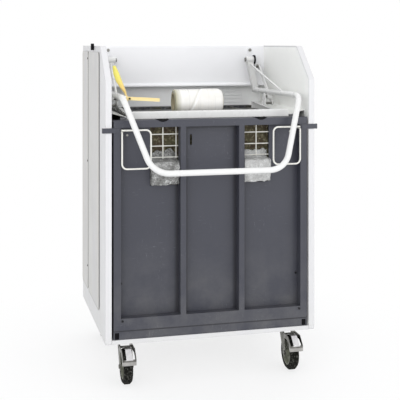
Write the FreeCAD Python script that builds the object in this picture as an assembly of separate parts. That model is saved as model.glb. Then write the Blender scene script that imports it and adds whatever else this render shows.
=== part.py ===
# Recycling baler on casters, in millimetres.
# A folded white housing holds a pressing chamber behind a dark lift-out door. A bent tube lever
# hangs from two brackets on the hood and carries the press plate on its hinge lugs. A swing arm
# on each side keeps the plate level, and a yellow release lever sits on the left lever tube.
# X runs from left to right, Y from the front to the back and Z up from the floor.
# The model is drawn with Y = 0 on the housing's front face and is moved when it is written,
# so that its origin is on the floor under the middle of the whole machine.

import FreeCAD
import Part
import os
from math import cos, radians, sin, tan

V = FreeCAD.Vector
X_AXIS = V(1, 0, 0)
Y_AXIS = V(0, 1, 0)
Z_AXIS = V(0, 0, 1)
ORIGIN = V(0, 0, 0)

# Clearances
GAP = 0.3                 # between pieces that move past each other
RUNNING = 0.05            # radial, between a pin and its bore

# Housing
WIDTH = 1010.0            # over the side walls
DEPTH = 850.0
HEIGHT = 1562.0           # floor to the hood's top
FOOT = 200.0              # floor to the housing's lower edge
WALL = 28.0               # depth of the folded side walls
SHEET = 1.5               # housing sheet
LIP = 14.0                # return lip of the side walls
LINER = 1.2               # inner sheet of the side walls
NOSE_DEPTH = 171.0        # the hood's sloped front edge, along Y
NOSE_DROP = 158.0         # and along Z
CORNER = 24.0             # rounded corners of the side walls

# Side covers
COVER_FRONT = 200.0
COVER_BEHIND = 262.0      # from the front cover's rear edge to the housing's rear
COVER_SPLIT = 12.0        # between the two covers
COVER_END = 12.0          # from the rear cover's rear edge to the housing's rear
COVER_FOOT = 300.0
COVER_UNDER = 28.0        # from their upper edge to the housing's top
COVER_SHEET = 1.2
COVER_LAP = 22.0
COVER_CORNER = 24.0
SEAL = 3.0                # foam strip that holds a cover off the wall
SEAL_INSET = 4.0
SEAL_WIDTH = 10.0
COVER_SCREWS = (0.10, 0.54, 0.97)     # shares of the covers' height
SCREW_RADIUS = 5.0
SCREW_RISE = 2.5

# Rubber buffer on the left wall
BUFFER_Y = 405.0
BUFFER_HALF = 12.0
BUFFER_DROP = 21.0
BUFFER_RISE = 12.0
BUFFER_DEPTH = 14.0

# Base, sill and floor
BASE_HEIGHT = 19.0
RIB_WALL = 3.0
SILL_RIB = 56.0           # depth of the front rib, under the sill
CROSS_RIB = 30.0
CROSS_RIB_YS = (152.0, 330.0)
REAR_RIB = 78.0
MIDDLE_RIB = 60.0
RIB_INSIDE = 14.0         # the side ribs, inside and outside the chamber's sides
RIB_OUTSIDE = 40.0
REAR_PAN = 50.0           # flat stretch behind the ribs
COVER_TRAY = 18.0         # depth of the rear cover
SILL_HEIGHT = 39.7
SILL_FRONT = 4.0
SILL_DEPTH = 44.0
SILL_SHEET = 2.5
SOCKET_WIDTH = 20.0
SOCKET_HEIGHT = 29.0
SOCKET_INSET = 16.0       # its middle, from the sill's end

# Pressing chamber
CHUTE_WIDTH = 76.0        # from a chamber side to the wall's liner
CHAMBER_BACK = 200.0      # from the chamber's rear sheet to the housing's rear
CHAMBER_OVER = 10.0       # the chamber's top stands this far over the door
CHAMBER_SHEET = 2.5
FLOOR_RISE = 39.0         # the chamber floor, above the base
STRAP_X = 238.0           # the two strap channels
STRAP_WIDTH = 54.0
STRAP_DEPTH = 8.0
CHUTE_RISE = 20.0         # the side ledges slope up to the walls

# Hood
HOOD_DEPTH = 160.0        # from the front face of the upper back panel to the rear
HOOD_HEIGHT = 219.0
HOOD_LEDGE = 14.0         # the bright ledge under it stands out this far
HOOD_LEDGE_RISE = 19.0
RECESS_DEPTH = 70.0       # from the hood's face to the grey sheet
BEAD_RADIUS = 3.0
BEAD_COUNT = 5
BEAD_SPAN = (110.0, 370.0)

# Lever pivot and its brackets
PIVOT_STAND = 40.0        # the pivot's distance from the hood's face
PIVOT_UNDER = 76.0        # and below the hood's top
PIVOT_INSET = 19.8        # the hub's middle, inside the chamber's side
PIN_RADIUS = 8.0
HUB_RADIUS = 18.0
HUB_LENGTH = 42.0
CHEEK = 5.0
CHEEK_REACH = 19.0        # ahead of the pivot
CHEEK_MARGIN = 24.0       # above the pivot and below the swing arm pin
TONGUE_OUT = 12.0         # the bracket's bolted tongue, outside the pivot
TONGUE_RISE = 52.0
TONGUE_HALF = 14.0
BRACKET_BOLT = 9.0
BRACKET_HEAD = 6.0
LINK_DY = 10.0            # each swing arm pin lies this far behind the hinge pin it goes with
LINK_DZ = -36.0
LINK_PIN_RADIUS = 6.0
ARM_OUT = 32.0            # inner face of the swing arms, outside the chamber's side
ARM_THICKNESS = 6.0
ARM_RADIUS = 12.0
CAP_RADIUS = 25.0         # black spacer disc on the lever pin
CAP_THICKNESS = 8.0

# Lever tube, by the corners of its middle line on the right side
TUBE_RADIUS = 14.0
TUBE_WALL = 2.5
BAR_INSET = 116.0         # the bar's corners, inside the elbows
BAR_Y = -138.0
BAR_DROP = 334.0          # the bar's height below the elbows
BAR_BEND = 105.0
ELBOW_OUT = 27.0          # the elbows, outside the chamber's side
ELBOW_Y = -10.0
ELBOW_RISE = 6.0          # the elbows' height above the tube's rear ends
ELBOW_BEND = 62.0
TAIL_OUT = 12.0           # the tube's rear ends, outside the chamber's side
LEVER_HEIGHT = 166.0      # from the tube's rear ends up to the pivot
TAIL_BEHIND = 1.0         # the tube ends this far behind its strut
STRUT_WIDTH = 32.0
STRUT_DEPTH = 26.0
BRACE_RADIUS = 5.0
BRACE_Y = 195.0           # where the thin brace meets the tube
BRACE_DROP = 22.0         # its upper end, below the lever pivot

# Press plate
HINGE_REACH = 230.0       # from the pivot forward to the plate hinge
HINGE_DROP = 24.0         # the plate hinge, below the tube's middle
HINGE_PIN_RADIUS = 7.0
BOSS_RADIUS = 14.0
BOSS_LENGTH = 26.0
PLATE_SIDE = 7.0          # gaps from the plate to the chamber
PLATE_AHEAD = 10.0
PLATE_BEHIND = 25.0       # the lever struts swing past the deck's rear corners
PLATE_DROP = 76.0         # the deck's underside, below its hinge
PLATE_SHEET = 4.0
PLATE_LIP = 12.0
BEAM_SIDE = 3.0
BEAM_HEIGHT = 34.0
BEAM_DEPTH = 30.0
BEAM_SHEET = 3.0
RIB_INSETS = (138.0, 162.0)   # from the plate's front and rear edges
RIB_WIDTH = 44.0
RIB_HEIGHT = 26.0
LUG_SHEET = 6.0
LUG_MARGIN = 24.0         # ahead of the hinge pin and behind the swing arm pin
LUG_FOOT = 14.0
LUG_CROWN_HALF = 18.0
LUG_CROWN_RISE = 16.0
LUG_CORNER = 15.0
PIN_HEAD = 3.0            # thickness of the pins' heads, and how far they reach past the pin

# Film roll lying on the press plate
ROLL_LEFT = -147.0
ROLL_LENGTH = 242.0
ROLL_RADIUS = 64.0
ROLL_Y = 200.0
ROLL_SHOULDER = 14.0
CORE_RADIUS = 44.0
CORE_WALL = 6.0

# Door
DOOR_SIDE = 9.0           # from the door's edge to the side wall
DOOR_UNDER = 340.0        # from the door's top to the housing's top
DOOR_DEPTH = 48.0
DOOR_SHEET = 2.0
SKIN = 1.5
STILE = 34.0
TOP_RAIL = 34.0
BOTTOM_RAIL = 57.0
POST_NEAR = 128.0         # the two posts, from the middle
POST_FAR = 155.0
GUARD_SPACE = 3.0         # between the skin and the chamber, outside the guards
WINDOW_WIDTH = 135.0
WINDOW_HEIGHT = 275.0
PLATE_EDGE_HEIGHT = 198.0 # dark cover plates beside the windows
SLOT_X = -94.0
SLOT_WIDTH = 10.0
SLOT_DROP = 41.0          # the slot's upper end, below the top rail
SLOT_HEIGHT = 50.0
SMILE_HALF = 27.5         # strap guides in the top rail
SMILE_DEPTH = 9.0
SMILE_RISE = 3.0
SMILE_THICKNESS = 5.0
TAB_OUT = 15.0            # the hook's tip, outside the side wall
TAB_DROP = 34.0           # its upper edge, below the door's top
TAB_HEIGHT = 23.0
TAB_SHEET = 4.0
BOLT_INSET = 7.0          # the bolt heads, beside the stiles' inner edges
BOLT_UNDER = 11.0         # below and above the foot of the bays
BOLT_OVER = 149.0
COVER_SCREW_INSET = 36.0
COVER_SCREW_DROP = 38.0
PEG_RADIUS = 6.0
PEG_LENGTH = 20.0
LOOP_WIRE = 4.0
LOOP_INSET = 4.0          # the wire's middle, inside the stile
LOOP_BESIDE = 6.0         # the inner upright's middle, outside the window
LOOP_HEIGHT = 177.0
LOOP_DROP = 11.0          # the wire's middle, below the top rail
LOOP_BEND = 24.0
LOOP_STAND = 8.0
GRID_WIRE = 2.5
GRID_DROPS = (38.0, 93.0, 146.0)      # the rails, below the top rail
GRID_STEPS = (62.0, 125.0)
WAD_HEIGHT = 121.0        # the film in a window
WAD_TOP = 172.0           # and where it stands up behind the wires
WAD_FRONT = -8.0
WAD_BEHIND = 11.0         # its upper part, behind the skin
WAD_REACH = 51.0

# Release lever on the left lever tube
RELEASE_Y = 45.0
RELEASE_DROP = 22.5       # its shaft, below the tube's middle
RELEASE_SHAFT = 6.0
RELEASE_PLATE = 6.0
RELEASE_ROOT = 8.0
BAR_END = 245.0
BAR_TALL = 16.0
BAR_THICK = 10.0
BAR_SLOPE = 10.0
BAR_RISE = 13.0           # its root, above the shaft
# The grip's sections: out, back and up from its root, then its width across and along
GRIP_SECTIONS = (
    (0.0, 2.0, 6.0, 8.0, 20.0),
    (0.0, 24.0, 40.0, 9.0, 20.0),
    (12.0, 42.0, 66.0, 20.0, 16.0),
    (24.0, 70.0, 96.0, 28.0, 16.0),
    (33.0, 96.0, 130.0, 28.0, 15.0),
    (39.0, 120.0, 164.0, 15.0, 9.0),
)

# Casters
WHEEL_RADIUS = 80.0
WHEEL_WIDTH = 42.0
RIM_RADIUS = 58.0
CASTER_INSET = 104.0      # the casters' middle, inside the side walls' faces
SWIVEL_Y = 100.0
SWIVEL_LEAD = 45.0
REAR_AXLE_BACK = 100.0    # from the rear axle to the housing's rear
CASTER_PLATE = 4.0
RACE_RADIUS = 34.0
KINGPIN_RADIUS = 8.0
CROWN_TOP = 186.7
FORK_GAP = 52.0
FORK_SHEET = 3.0
PLATE_BOLTS = ((-38, -28), (38, -28), (38, 28), (-38, 28))
AXLE_RADIUS = 6.0
PEDAL_Y = 82.0
PEDAL_Z = 162.0
PEDAL_PIN = 4.0
PEDAL_FRONT = -40.0
PEDAL_SHEET = 2.5

# Values that follow from the ones above
INNER = WIDTH / 2 - WALL
CLEAR_HALF = INNER - LINER
COVER_REAR = DEPTH - COVER_BEHIND
COVER_SPANS = ((COVER_FRONT, COVER_REAR), (COVER_REAR + COVER_SPLIT, DEPTH - COVER_END))
COVER_TOP = HEIGHT - COVER_UNDER
BASE_TOP = FOOT + BASE_HEIGHT

DOOR_HALF = INNER - DOOR_SIDE
DOOR_TOP = HEIGHT - DOOR_UNDER
DOOR_FRONT = -GAP
DOOR_REAR = DOOR_FRONT + DOOR_DEPTH
SKIN_REAR = DOOR_REAR + SKIN
SILL_TOP = BASE_TOP + SILL_HEIGHT
DOOR_FOOT = SILL_TOP + GAP
BAY_FOOT = DOOR_FOOT + BOTTOM_RAIL
BAY_TOP = DOOR_TOP - TOP_RAIL
STILE_EDGE = DOOR_HALF - STILE
WINDOW_FAR = POST_FAR + WINDOW_WIDTH
WINDOW_FOOT = BAY_TOP - WINDOW_HEIGHT
PEG_Y = SILL_FRONT + SILL_DEPTH / 2
SOCKET_X = DOOR_HALF - SOCKET_INSET

CHAMBER_HALF = CLEAR_HALF - CHUTE_WIDTH
CHAMBER_FRONT = SKIN_REAR + GUARD_SPACE
CHAMBER_REAR = DEPTH - CHAMBER_BACK
CHAMBER_TOP = DOOR_TOP + CHAMBER_OVER
FLOOR_TOP = BASE_TOP + FLOOR_RISE
HOOD_FACE = DEPTH - HOOD_DEPTH
HOOD_FOOT = HEIGHT - HOOD_HEIGHT
RECESS_FACE = HOOD_FACE + RECESS_DEPTH

PIVOT_X = CHAMBER_HALF - PIVOT_INSET
PIVOT_Y = HOOD_FACE - PIVOT_STAND
PIVOT_Z = HEIGHT - PIVOT_UNDER
TAIL_X = CHAMBER_HALF + TAIL_OUT
TAIL_Y = PIVOT_Y + STRUT_DEPTH / 2 + TAIL_BEHIND
TAIL_Z = PIVOT_Z - LEVER_HEIGHT
ELBOW_X = CHAMBER_HALF + ELBOW_OUT
ELBOW_Z = TAIL_Z + ELBOW_RISE
BAR_HALF = ELBOW_X - BAR_INSET
BAR_Z = ELBOW_Z - BAR_DROP
ARM_X = CHAMBER_HALF + ARM_OUT
HINGE_Y = PIVOT_Y - HINGE_REACH

PLATE_HALF = CHAMBER_HALF - PLATE_SIDE
BEAM_HALF = CHAMBER_HALF - BEAM_SIDE
PLATE_FRONT = CHAMBER_FRONT + PLATE_AHEAD
PLATE_REAR = CHAMBER_REAR - PLATE_BEHIND

CASTER_X = WIDTH / 2 - CASTER_INSET
WHEEL_FRONT_Y = SWIVEL_Y - SWIVEL_LEAD
REAR_AXLE_Y = DEPTH - REAR_AXLE_BACK
FRONT_END = BAR_Y - TUBE_RADIUS
REAR_END = DEPTH + SCREW_RISE
Y_SHIFT = -(FRONT_END + REAR_END) / 2


def save(name, *solids):
    """Writes one node, moved into the row's frame."""
    shape = solids[0] if len(solids) == 1 else Part.makeCompound(list(solids))
    moved = shape.copy()
    moved.translate(V(0, Y_SHIFT, 0))
    moved.exportStep("parts/" + name + ".step")


def both(shape):
    """A right-hand piece and its mirror image on the left."""
    return shape, shape.mirror(ORIGIN, X_AXIS)


def block(x0, x1, y0, y1, z0, z1):
    return Part.makeBox(x1 - x0, y1 - y0, z1 - z0, V(x0, y0, z0))


def rod(start, end, radius):
    return Part.makeCylinder(radius, (end - start).Length, start, end - start)


def path(points, radii, closed=False):
    """Straight runs joined by tangent arcs, with one bend radius for each point."""
    count = len(points)
    edges = []
    leave = []
    arcs = []
    for i, point in enumerate(points):
        inner = closed or 0 < i < count - 1
        if radii[i] == 0 or not inner:
            leave.append((point, point))
            arcs.append(None)
            continue
        back = V(points[i - 1] - point).normalize()
        ahead = V(points[(i + 1) % count] - point).normalize()
        half = back.getAngle(ahead) / 2
        reach = radii[i] / tan(half)
        middle = point + V(back + ahead).normalize() * (radii[i] / sin(half) - radii[i])
        leave.append((point + back * reach, point + ahead * reach))
        arcs.append(Part.Arc(leave[i][0], middle, leave[i][1]).toShape())
    for i in range(count):
        if arcs[i]:
            edges.append(arcs[i])
        if i < count - 1 or closed:
            edges.append(Part.makeLine(leave[i][1], leave[(i + 1) % count][0]))
    return Part.Wire(edges)


def place(axis, offset, a, b):
    """The point with the two outline coordinates a and b, at the offset along an axis."""
    if axis == "x":
        return V(offset, a, b)
    if axis == "y":
        return V(a, offset, b)
    return V(a, b, offset)


def face(corners, axis, offset):
    """A flat face from (a, b) or (a, b, radius) corners."""
    points = [place(axis, offset, c[0], c[1]) for c in corners]
    radii = [c[2] if len(c) > 2 else 0 for c in corners]
    return Part.Face(path(points, radii, closed=True))


def prism(corners, axis, start, end):
    direction = {"x": X_AXIS, "y": Y_AXIS, "z": Z_AXIS}[axis]
    return face(corners, axis, start).extrude(direction * (end - start))


def rounded(a0, a1, b0, b1, radius):
    return [(a0, b0, radius), (a1, b0, radius), (a1, b1, radius), (a0, b1, radius)]


def pipe(points, radii, radius):
    """A round bar or tube body along a bent path."""
    spine = path(points, radii)
    start = points[0]
    circle = Part.Wire(Part.makeCircle(radius, start, points[1] - start))
    return Part.Wire(spine).makePipeShell([circle], True, False)


def ring(radius, bore, start, length):
    """A ring with its axis along X."""
    outer = Part.makeCylinder(radius, length, start, X_AXIS)
    return outer.cut(Part.makeCylinder(bore, length, start, X_AXIS))


def turned(outline, centre):
    """A body turned about an axis along X, from (x, radius) corners."""
    points = [centre + V(c[0], 0, c[1]) for c in outline]
    radii = [c[2] if len(c) > 2 else 0 for c in outline]
    profile = Part.Face(path(points, radii, closed=True))
    return profile.revolve(centre, X_AXIS, 360)


def hexagon(centre, radius, axis, length):
    """A bolt head or nut."""
    a, b, start = {
        "x": (centre.y, centre.z, centre.x),
        "y": (centre.x, centre.z, centre.y),
        "z": (centre.x, centre.y, centre.z),
    }[axis]
    angles = [radians(60 * i) for i in range(6)]
    corners = [(a + radius * cos(angle), b + radius * sin(angle)) for angle in angles]
    return prism(corners, axis, start, start + length)


# Side walls, covers and base

def wall_face(inset):
    """The side wall's outline, drawn in by the inset."""
    outline = face([
        (0, FOOT, 6),
        (DEPTH, FOOT, 6),
        (DEPTH, HEIGHT, 6),
        (NOSE_DEPTH, HEIGHT, CORNER),
        (0, HEIGHT - NOSE_DROP, CORNER),
    ], "x", INNER)
    return outline.makeOffset2D(-inset) if inset else outline


def cover_outline(span, inset):
    return rounded(span[0] + inset, span[1] - inset, COVER_FOOT + inset, COVER_TOP - inset,
                   COVER_CORNER - inset / 2)


def side_wall():
    """A folded tray, open to the inside, with a return lip all round."""
    tray = wall_face(0).extrude(V(WALL, 0, 0))
    cavity = wall_face(SHEET).extrude(V(WALL - 2 * SHEET, 0, 0))
    cavity.translate(V(SHEET, 0, 0))
    mouth = wall_face(LIP).extrude(V(SHEET, 0, 0))
    wall = tray.cut(cavity).cut(mouth)
    for span in COVER_SPANS:
        wall = wall.cut(prism(cover_outline(span, COVER_LAP), "x", INNER + SHEET, WIDTH / 2))
    return wall


def side_liner():
    liner = wall_face(LIP / 2).extrude(V(LINER, 0, 0))
    liner.translate(V(-LINER, 0, 0))
    return liner


def side_cover(span):
    face_x = WIDTH / 2 + SEAL
    return prism(cover_outline(span, 0), "x", face_x, face_x + COVER_SHEET)


def cover_seal(span):
    """The foam strip under a cover's edge, which shows as a dark joint."""
    outer = prism(cover_outline(span, SEAL_INSET), "x", WIDTH / 2, WIDTH / 2 + SEAL)
    inner = cover_outline(span, SEAL_INSET + SEAL_WIDTH)
    return outer.cut(prism(inner, "x", WIDTH / 2, WIDTH / 2 + SEAL))


def screw_head(centre, direction, radius):
    """A low round screw head that stands on a face."""
    return Part.makeCylinder(radius, SCREW_RISE, centre, direction)


def cover_screws():
    """The screws down the rear covers' front edges."""
    heads = []
    for share in COVER_SCREWS:
        z = COVER_FOOT + (COVER_TOP - COVER_FOOT) * share
        foot = V(WIDTH / 2 + SEAL + COVER_SHEET, COVER_SPANS[1][0] + COVER_LAP / 2, z)
        heads += both(screw_head(foot, X_AXIS, SCREW_RADIUS))
    return heads


def wall_buffer():
    """A rubber button on the left wall's upper edge."""
    outline = rounded(BUFFER_Y - BUFFER_HALF, BUFFER_Y + BUFFER_HALF, HEIGHT - BUFFER_DROP,
                      HEIGHT + BUFFER_RISE, BUFFER_HALF - 1)
    return prism(outline, "x", -WIDTH / 2 - BUFFER_DEPTH, -WIDTH / 2)


def spans(edges):
    """The gaps between pairs of edges, in order."""
    return list(zip(edges[0::2], edges[1::2]))


def base_frame():
    """A pan with hollow ribs, which carry the chamber, the sill and the casters."""
    wall = RIB_WALL
    side = (CHAMBER_HALF - RIB_INSIDE, CHAMBER_HALF + RIB_OUTSIDE)
    middle = MIDDLE_RIB / 2
    rear = (CHAMBER_REAR - REAR_RIB / 2, CHAMBER_REAR + REAR_RIB / 2)
    back = DEPTH - REAR_PAN
    cross = [(y, y + CROSS_RIB) for y in CROSS_RIB_YS]
    half = CLEAR_HALF - wall
    bays_x = spans([-half, -side[1], -side[0], -middle, middle, side[0], side[1], half])
    bays_y = spans([SILL_RIB, *[y for rib in cross for y in rib], *rear, back])
    long_ribs = spans([-side[1], -side[0], -middle, middle, side[0], side[1]])
    frame = block(-CLEAR_HALF, CLEAR_HALF, 0, DEPTH - COVER_TRAY, FOOT, BASE_TOP)
    for x0, x1 in bays_x:
        for y0, y1 in bays_y:
            frame = frame.cut(block(x0, x1, y0, y1, FOOT + wall, BASE_TOP))
    for x0, x1 in long_ribs:
        frame = frame.cut(block(x0 + wall, x1 - wall, SILL_RIB + wall, back - wall, FOOT, BASE_TOP - wall))
    for y0, y1 in ((0, SILL_RIB), rear):
        frame = frame.cut(block(-half, half, y0 + wall, y1 - wall, FOOT, BASE_TOP - wall))
    return frame


def front_sill():
    """A channel across the front, with a peg hole above and a square socket at each end."""
    rear = SILL_FRONT + SILL_DEPTH
    sill = block(-DOOR_HALF, DOOR_HALF, SILL_FRONT, rear, BASE_TOP, SILL_TOP)
    sill = sill.cut(block(-DOOR_HALF + SILL_SHEET, DOOR_HALF - SILL_SHEET, SILL_FRONT + SILL_SHEET,
                          rear - SILL_SHEET, BASE_TOP, SILL_TOP - SILL_SHEET))
    for cutter in both(socket_block(0, SILL_SHEET)):
        sill = sill.cut(cutter)
    hole = rod(V(SOCKET_X, PEG_Y, BASE_TOP + 9), V(SOCKET_X, PEG_Y, SILL_TOP), PEG_RADIUS + GAP)
    for cutter in both(hole):
        sill = sill.cut(cutter)
    return sill


def socket_block(proud, depth):
    x0 = SOCKET_X - SOCKET_WIDTH / 2
    return block(x0, x0 + SOCKET_WIDTH, SILL_FRONT - proud, SILL_FRONT + depth,
                 BASE_TOP + 3, BASE_TOP + 3 + SOCKET_HEIGHT)


def sill_plug():
    """The black cap in a sill socket, a tray that is open to the back."""
    plug = socket_block(0, 8)
    x0 = SOCKET_X - SOCKET_WIDTH / 2 + SHEET
    hollow = block(x0, x0 + SOCKET_WIDTH - 2 * SHEET, SILL_FRONT + SHEET, SILL_FRONT + 8,
                   BASE_TOP + 3 + SHEET, BASE_TOP + 3 + SOCKET_HEIGHT - SHEET)
    return plug.cut(hollow)


# Chamber

def chamber_floor():
    top = block(-CHAMBER_HALF, CHAMBER_HALF, CHAMBER_FRONT, CHAMBER_REAR, BASE_TOP, FLOOR_TOP)
    under = block(-CHAMBER_HALF + CHAMBER_SHEET, CHAMBER_HALF - CHAMBER_SHEET,
                  CHAMBER_FRONT + CHAMBER_SHEET, CHAMBER_REAR - CHAMBER_SHEET,
                  BASE_TOP, FLOOR_TOP - CHAMBER_SHEET)
    return top.cut(under)


def chamber_side():
    """A sheet folded outwards along its front and rear edges."""
    inner = CHAMBER_HALF
    outer = CHAMBER_HALF + CHAMBER_SHEET
    flange = CHAMBER_HALF + 30
    front = CHAMBER_FRONT + CHAMBER_SHEET
    rear = CHAMBER_REAR - CHAMBER_SHEET
    outline = [(inner, CHAMBER_FRONT), (flange, CHAMBER_FRONT), (flange, front), (outer, front),
               (outer, rear), (flange, rear), (flange, CHAMBER_REAR), (inner, CHAMBER_REAR)]
    return prism(outline, "z", BASE_TOP, CHAMBER_TOP)


def chamber_rear():
    """The rear sheet, with two pressed strap channels and a shelf back to the recess."""
    half = CHAMBER_HALF + 30
    back = CHAMBER_REAR + CHAMBER_SHEET
    shelf_foot = CHAMBER_TOP - CHAMBER_SHEET
    wall = block(-half, half, CHAMBER_REAR, back, BASE_TOP, CHAMBER_TOP)
    shelf = block(-half, half, CHAMBER_REAR, RECESS_FACE, shelf_foot, CHAMBER_TOP)
    channels = []
    grooves = []
    for x in (-STRAP_X, STRAP_X):
        x0 = x - STRAP_WIDTH / 2
        x1 = x + STRAP_WIDTH / 2
        channels.append(block(x0 - CHAMBER_SHEET, x1 + CHAMBER_SHEET, CHAMBER_REAR,
                              back + STRAP_DEPTH, BASE_TOP, CHAMBER_TOP))
        grooves.append(block(x0, x1, CHAMBER_REAR, CHAMBER_REAR + STRAP_DEPTH, BASE_TOP, CHAMBER_TOP))
    rear = wall.multiFuse([shelf] + channels)
    for groove in grooves:
        rear = rear.cut(groove)
    return rear.removeSplitter()


def chute():
    """The sloped ledge between a chamber side and the wall liner."""
    x0 = CHAMBER_HALF
    x1 = CHAMBER_HALF + CHAMBER_SHEET
    x2 = CLEAR_HALF
    z0 = CHAMBER_TOP
    z1 = CHAMBER_TOP + CHUTE_RISE
    outline = [(x0, z0), (x1, z0), (x2 - SHEET, z1 - SHEET), (x2 - SHEET, z0 - 30), (x2, z0 - 30),
               (x2, z1), (x0, z0 + SHEET)]
    return prism(outline, "y", CHAMBER_FRONT, RECESS_FACE)


# Hood and rear

def hood_panel():
    """Front sheet, ledge and top of the upper back box, folded from one sheet."""
    ledge = HOOD_FACE - HOOD_LEDGE
    ledge_top = HOOD_FOOT + HOOD_LEDGE_RISE
    rear = DEPTH - SHEET
    outline = [
        (RECESS_FACE, HOOD_FOOT),
        (RECESS_FACE, HOOD_FOOT + SHEET),
        (ledge + SHEET, HOOD_FOOT + SHEET),
        (ledge + SHEET, HOOD_FOOT + 7),
        (HOOD_FACE + SHEET, ledge_top - 1),
        (HOOD_FACE + SHEET, HEIGHT - SHEET),
        (rear, HEIGHT - SHEET),
        (rear, HEIGHT),
        (HOOD_FACE, HEIGHT, 4),
        (HOOD_FACE, ledge_top),
        (ledge, HOOD_FOOT + 8, 3),
        (ledge, HOOD_FOOT, 1),
    ]
    return prism(outline, "x", -CLEAR_HALF, CLEAR_HALF)


def recess_panel():
    """The grey sheet under the hood, with pressed beads on its right half."""
    panel = block(-CLEAR_HALF, CLEAR_HALF, RECESS_FACE, RECESS_FACE + SHEET, CHAMBER_TOP, HOOD_FOOT)
    pitch = (HOOD_FOOT - CHAMBER_TOP) / (BEAD_COUNT + 1)
    beads = []
    for i in range(BEAD_COUNT):
        z = CHAMBER_TOP + pitch * (i + 1)
        beads.append(rod(V(BEAD_SPAN[0], RECESS_FACE, z), V(BEAD_SPAN[1], RECESS_FACE, z), BEAD_RADIUS))
    return panel.multiFuse([bead.cut(block(-CLEAR_HALF, CLEAR_HALF, RECESS_FACE + SHEET,
                                           RECESS_FACE + 9, FOOT, HEIGHT)) for bead in beads])


def rear_cover():
    """A tray that closes the back, with two pressed bands across it."""
    cover = block(-CLEAR_HALF, CLEAR_HALF, DEPTH - COVER_TRAY, DEPTH, FOOT + 1, HEIGHT - SHEET)
    cover = cover.cut(block(-CLEAR_HALF + SHEET, CLEAR_HALF - SHEET, DEPTH - COVER_TRAY, DEPTH - SHEET,
                            FOOT + 1 + SHEET, HEIGHT - 2 * SHEET))
    for z in (0.35, 0.68):
        middle = FOOT + (HEIGHT - FOOT) * z
        band = rounded(-CLEAR_HALF + 60, CLEAR_HALF - 60, middle - 20, middle + 20, 18)
        cover = cover.cut(prism(band, "y", DEPTH - 1, DEPTH))
    return cover


def rear_screws():
    heads = []
    for z in (FOOT + 60, FOOT + 480, FOOT + 890, HEIGHT - 60):
        heads += both(screw_head(V(CLEAR_HALF - 22, DEPTH, z), Y_AXIS, SCREW_RADIUS))
    return heads


def link_pin_point(y, z):
    return y + LINK_DY, z + LINK_DZ


def bracket_stack():
    """The X starts of the black spacer and of the cheek, on the right."""
    spacer = PIVOT_X + HUB_LENGTH / 2 + GAP
    return spacer, spacer + CAP_THICKNESS


def bracket_bolt_places():
    x = PIVOT_X + TONGUE_OUT
    return (x, PIVOT_Z + TONGUE_RISE), (x, PIVOT_Z + LINK_DZ - CHEEK_MARGIN / 3)


def pivot_bracket():
    """A back plate with one cheek for both pins, and a tongue bolted to the hood's face."""
    cheek = bracket_stack()[1]
    back = HOOD_FACE - CHEEK
    top = PIVOT_Z + CHEEK_MARGIN
    foot = PIVOT_Z + LINK_DZ - CHEEK_MARGIN
    front = PIVOT_Y - CHEEK_REACH
    bolt_x, bolt_z = bracket_bolt_places()[0]
    x0 = bolt_x - TONGUE_HALF
    x1 = bolt_x + TONGUE_HALF
    outline = [(back, foot), (PIVOT_Y + 4, foot, 10), (front, PIVOT_Z - 14, 12), (front, PIVOT_Z + 19, 14),
               (back, top)]
    plate = block(x0, cheek + CHEEK, back, HOOD_FACE, foot, top)
    tongue = prism([(x0, top), (x1, top), (x1, bolt_z + TONGUE_HALF, 8), (x0, bolt_z + TONGUE_HALF, 8)],
                   "y", back, HOOD_FACE)
    bracket = plate.multiFuse([tongue, prism(outline, "x", cheek, cheek + CHEEK)])
    link_y, link_z = link_pin_point(PIVOT_Y, PIVOT_Z)
    for y, z, radius in ((PIVOT_Y, PIVOT_Z, PIN_RADIUS), (link_y, link_z, LINK_PIN_RADIUS)):
        bracket = bracket.cut(Part.makeCylinder(radius, CHEEK, V(cheek, y, z), X_AXIS))
    return bracket.removeSplitter()


def pivot_pins():
    """The lever pin with its head, the swing arm pin with its collar and end washer, and the bolts."""
    cheek = bracket_stack()[1]
    link_y, link_z = link_pin_point(PIVOT_Y, PIVOT_Z)
    hub_start = PIVOT_X - HUB_LENGTH / 2 - GAP
    arm_end = ARM_X + ARM_THICKNESS + GAP
    pin = rod(V(hub_start, PIVOT_Y, PIVOT_Z), V(cheek + CHEEK, PIVOT_Y, PIVOT_Z), PIN_RADIUS)
    head = hexagon(V(hub_start - 6, PIVOT_Y, PIVOT_Z), PIN_RADIUS + 4, "x", 6)
    link = rod(V(cheek, link_y, link_z), V(arm_end + PIN_HEAD, link_y, link_z), LINK_PIN_RADIUS)
    collar = rod(V(cheek + CHEEK, link_y, link_z), V(ARM_X - GAP, link_y, link_z), LINK_PIN_RADIUS + 4)
    washer = rod(V(arm_end, link_y, link_z), V(arm_end + PIN_HEAD, link_y, link_z),
                 LINK_PIN_RADIUS + PIN_HEAD)
    bolts = [hexagon(V(x, HOOD_FACE - CHEEK - BRACKET_HEAD, z), BRACKET_BOLT, "y", BRACKET_HEAD)
             for x, z in bracket_bolt_places()]
    return [pin.fuse(head).removeSplitter(), link.multiFuse([collar, washer]).removeSplitter()] + bolts


def pivot_cap():
    """The black spacer disc between the hub and the cheek."""
    return ring(CAP_RADIUS, PIN_RADIUS, V(bracket_stack()[0], PIVOT_Y, PIVOT_Z), CAP_THICKNESS)


# Lever

def tube_point(y):
    """The middle of the right lever tube where it runs back over the plate."""
    share = (y - ELBOW_Y) / (TAIL_Y - ELBOW_Y)
    return V(ELBOW_X + (TAIL_X - ELBOW_X) * share, y, ELBOW_Z + (TAIL_Z - ELBOW_Z) * share)


HINGE_Z = tube_point(HINGE_Y).z - HINGE_DROP
RELEASE_Z = tube_point(RELEASE_Y).z - RELEASE_DROP
PLATE_FOOT = HINGE_Z - PLATE_DROP
PLATE_TOP = PLATE_FOOT + PLATE_SHEET


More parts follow.
